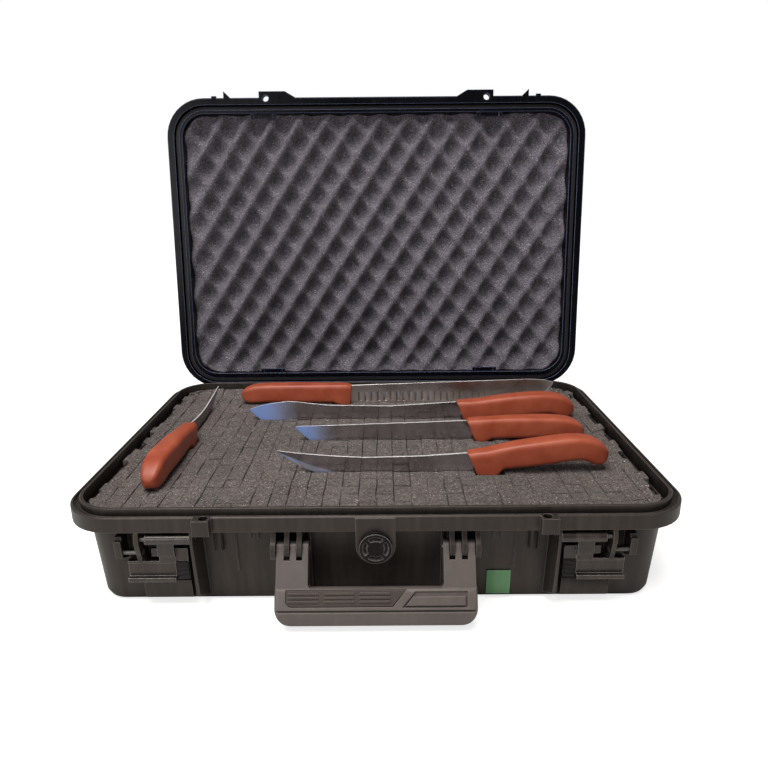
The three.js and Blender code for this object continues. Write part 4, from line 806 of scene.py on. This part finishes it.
slits = {  # where each blade and heel goes into the foam: along the knife, in millimetres
    "slicing_knife": {"blade": (-3, 238), "heel": (-24, -1), "heelDepth": 6, "halfWidth": 8.8},
    "butcher_knife": {"blade": (-8, 228), "heel": (-32, -6.8), "heelDepth": 7, "halfWidth": 9.7},
    "trimming_knife": {"blade": (-8, 171), "heel": (-26, -7.1), "heelDepth": 6, "halfWidth": 9.2},
    "boning_knife": {"blade": (-9, 148), "heel": (-34, -7.1), "heelDepth": 9, "halfWidth": 9.7},
    "curved_knife": {"blade": (-8, 90), "heel": (-32, -6.2), "heelDepth": 8, "halfWidth": 10.2},
}


def inRoundRectangle(x, y, halfWidth, halfLength, corner):  # the nearest place inside
    cornerX = max(-(halfWidth - corner), min(halfWidth - corner, x))
    cornerY = max(-(halfLength - corner), min(halfLength - corner, y))
    offX, offY = x - cornerX, y - cornerY
    far = math.hypot(offX, offY)
    if far > corner:
        offX, offY = offX * corner / far, offY * corner / far
    return cornerX + offX, cornerY + offY


def foamLines(half, pad, extra):
    cell, cut = pad["cell"], pad["cut"]
    count = math.ceil(half / cell) + 1
    shares = (0, cut, cell / 4, cell / 2, cell * 3 / 4, cell - cut)
    lines = [number * cell + share for number in range(-count, count) for share in shares]
    lines = [line for line in lines if abs(line) < half + 4]
    for value in extra:  # a plain line too near an extra one gives way to it
        lines = [line for line in lines if abs(line - value) > pad["lineGap"]]
    return sorted(lines + list(extra) + [-half, half])


def slitLines(pad):  # the extra lines across X and across Y that the slits need
    alongX, alongY = [], []
    for name, slit in slits.items():
        knife = knives[name]
        upright = name == "curved_knife"
        sides, ends = (alongX, alongY) if upright else (alongY, alongX)
        middle, base = knife["at"] if upright else reversed(knife["at"])
        half, beyond = slit["halfWidth"], pad["slitEnd"]
        for offset in (pad["slitHalf"], pad["slitEdge"], half, half + pad["heelSide"]):
            sides += [middle - offset, middle + offset]
        turn = -1 if knife["turn"] == 180 else 1
        tip, (back, front) = slit["blade"][1], slit["heel"]
        for place in (tip, tip + beyond, back, back - beyond, front, front + beyond):
            ends.append(base + turn * place)
    return alongX, alongY


def slitDepthAt(x, y, pad):  # how deep the foam is cut here, and how clear of any cut the place is
    depth, clear, reach = 0, 1.0, pad["reach"]
    for name, slit in slits.items():
        knife = knives[name]
        offset = Vector((x - knife["at"][0], y - knife["at"][1]))
        angle = math.radians(knife["turn"])
        along = offset.x * math.cos(angle) + offset.y * math.sin(angle)
        across = abs(-offset.x * math.sin(angle) + offset.y * math.cos(angle))
        (heel, tip), (back, front) = slit["blade"], slit["heel"]
        beyond = max(back - along, along - tip, across - slit["halfWidth"])
        clear = min(clear, max(0.0, beyond / pad["calm"]))
        if across < pad["slitHalf"] + reach and heel <= along <= tip + reach:
            depth = max(depth, pad["slitDepth"])
        if across < slit["halfWidth"] + reach and back - reach <= along <= front + reach:
            depth = max(depth, slit["heelDepth"] + pad["heelSlack"])
    return depth, clear


def swellAt(x, y, pad):  # the block stands higher along its sides and back
    inside = min(pad["halfWidth"] - abs(x), pad["halfLength"] - y)
    share = max(0.0, min(1.0, 1 - inside / pad["swellFrom"]))
    return pad["swell"] * share * share * (3 - 2 * share)


def cutSurface(pad, xs, ys):  # the uneven squares, one point for each crossing of the lines
    chance = random.Random(pad["seed"])
    curved = knives["curved_knife"]
    lean = -math.tan(math.radians(curved["turn"] - 90))
    drawn = {}

    def chosen(key, place):  # each square's own value, drawn once
        if (key, place) not in drawn:
            (low, high), power = pad[key]
            drawn[key, place] = low + (high - low) * chance.random() ** power
        return drawn[key, place]

    def heightAt(x, y, square):
        inX, inY = x - square[0] * pad["cell"], y - square[1] * pad["cell"]
        height = chosen("raise", square)
        if inX < pad["inCut"]:
            height = min(height, pad["deepFrom"] - chosen("deepCuts", square))
        if inY < pad["inCut"]:
            height = min(height, pad["faintFrom"] - chosen("faintCuts", square))
        return height

    for y in ys:
        line = []
        for x in xs:
            shear = max(0.0, 1 - abs(x - curved["at"][0]) / pad["shearReach"])
            placeX = x + lean * (y - curved["at"][1]) * shear
            square = tuple(math.floor(value / pad["cell"] + 1e-6) for value in (x, y))
            limitX = pad["halfWidth"] - chosen("raggedSides", (x > 0, square[1]))
            limitY = pad["halfLength"] - chosen("raggedEnds", (y > 0, square[0]))
            toX, toY = inRoundRectangle(placeX, y, limitX, limitY, pad["corner"])
            depth, clear = slitDepthAt(placeX, y, pad)
            height = foamTop + heightAt(x, y, square)
            if depth:
                height = foamTop - depth
            scale, size = pad["bumps"]
            height = min(height + noise.noise(Vector((x, y, 1.0)) * scale) * size, foamTop - pad["skin"])
            still = clear * min(1.0, max(0.0, min(limitX - abs(toX), limitY - abs(toY)) / pad["calm"]))
            offX, offY = (
                still * sum(noise.noise(Vector((x, y, level)) * scale) * size for scale, size in pad["waver"])
                for level in pad["waverLevels"]
            )
            line.append(Vector((toX + offX, toY + offY, height + swellAt(x, y, pad))) * mm)
        yield line


def makeTubFoam(pad):
    alongX, alongY = slitLines(pad)
    xs = foamLines(pad["halfWidth"], pad, alongX)
    ys = foamLines(pad["halfLength"], pad, alongY)
    mesh = bmesh.new()
    grid = [[mesh.verts.new(place) for place in line] for line in cutSurface(pad, xs, ys)]
    for low, high in zip(grid, grid[1:]):
        for k in range(len(xs) - 1):
            mesh.faces.new((low[k], low[k + 1], high[k + 1], high[k]))
    bmesh.ops.remove_doubles(mesh, verts=mesh.verts[:], dist=pad["weld"] * mm)
    bmesh.ops.dissolve_degenerate(mesh, edges=mesh.edges[:], dist=pad["weld"] * mm)
    border = [edge for edge in mesh.edges if edge.is_boundary]
    steps = [
        (pad["ledge"], None),
        (pad["ledge"] - pad["ledgeDrop"], (pad["lowerHalfWidth"], pad["lowerHalfLength"])),
        (pad["bottom"], (pad["bottomHalfWidth"], pad["bottomHalfLength"])),
    ]
    for height, size in steps:
        made = bmesh.ops.extrude_edge_only(mesh, edges=border)["geom"]
        border = [item for item in made if isinstance(item, bmesh.types.BMEdge) and item.is_boundary]
        for vertex in {vertex for edge in border for vertex in edge.verts}:
            x, y = vertex.co.x / mm, vertex.co.y / mm
            if size:
                x, y = inRoundRectangle(x, y, size[0], size[1], pad["lowerCorner"])
            vertex.co = Vector((x, y, min(height, vertex.co.z / mm - pad["leastDrop"]))) * mm
    bmesh.ops.contextual_create(mesh, geom=border)
    piece = addFoam(mesh, "tub_foam_block", "tubFoam")
    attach(piece, "base")
    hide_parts("foam_block")


makeTubFoam(tubPad)
print("stage: tub foam made")


# Floor pad under the block
floorPad = {
    "rings": [
        (222, 143, 4.5), (228.6, 149.4, 8.6), (229.8, 150.6, 15), (229.6, 150.4, 22), (228, 148.6, 23.9),
    ],
    "corner": 20, "steps": 9,
}


def makeFloorPad(pad):
    mesh = bmesh.new()
    rings = []
    for halfWidth, halfLength, height in pad["rings"]:
        ring = []
        for turn, (signX, signY) in enumerate(((1, 1), (-1, 1), (-1, -1), (1, -1))):
            for k in range(pad["steps"] + 1):
                angle = (turn + k / pad["steps"]) * math.pi / 2
                x = signX * (halfWidth - pad["corner"]) + pad["corner"] * math.cos(angle)
                y = signY * (halfLength - pad["corner"]) + pad["corner"] * math.sin(angle)
                ring.append(mesh.verts.new(Vector((x, y, height)) * mm))
        rings.append(ring)
    for low, high in zip(rings, rings[1:]):
        for k in range(len(low)):
            after = (k + 1) % len(low)
            mesh.faces.new((low[k], low[after], high[after], high[k]))
    mesh.faces.new(rings[0][::-1])
    mesh.faces.new(rings[-1])
    piece = addFoam(mesh, "floor_foam_pad", "tubFoam")
    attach(piece, "base")
    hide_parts("foam_floor_pad")


makeFloorPad(floorPad)
print("stage: floor pad made")

deselect()
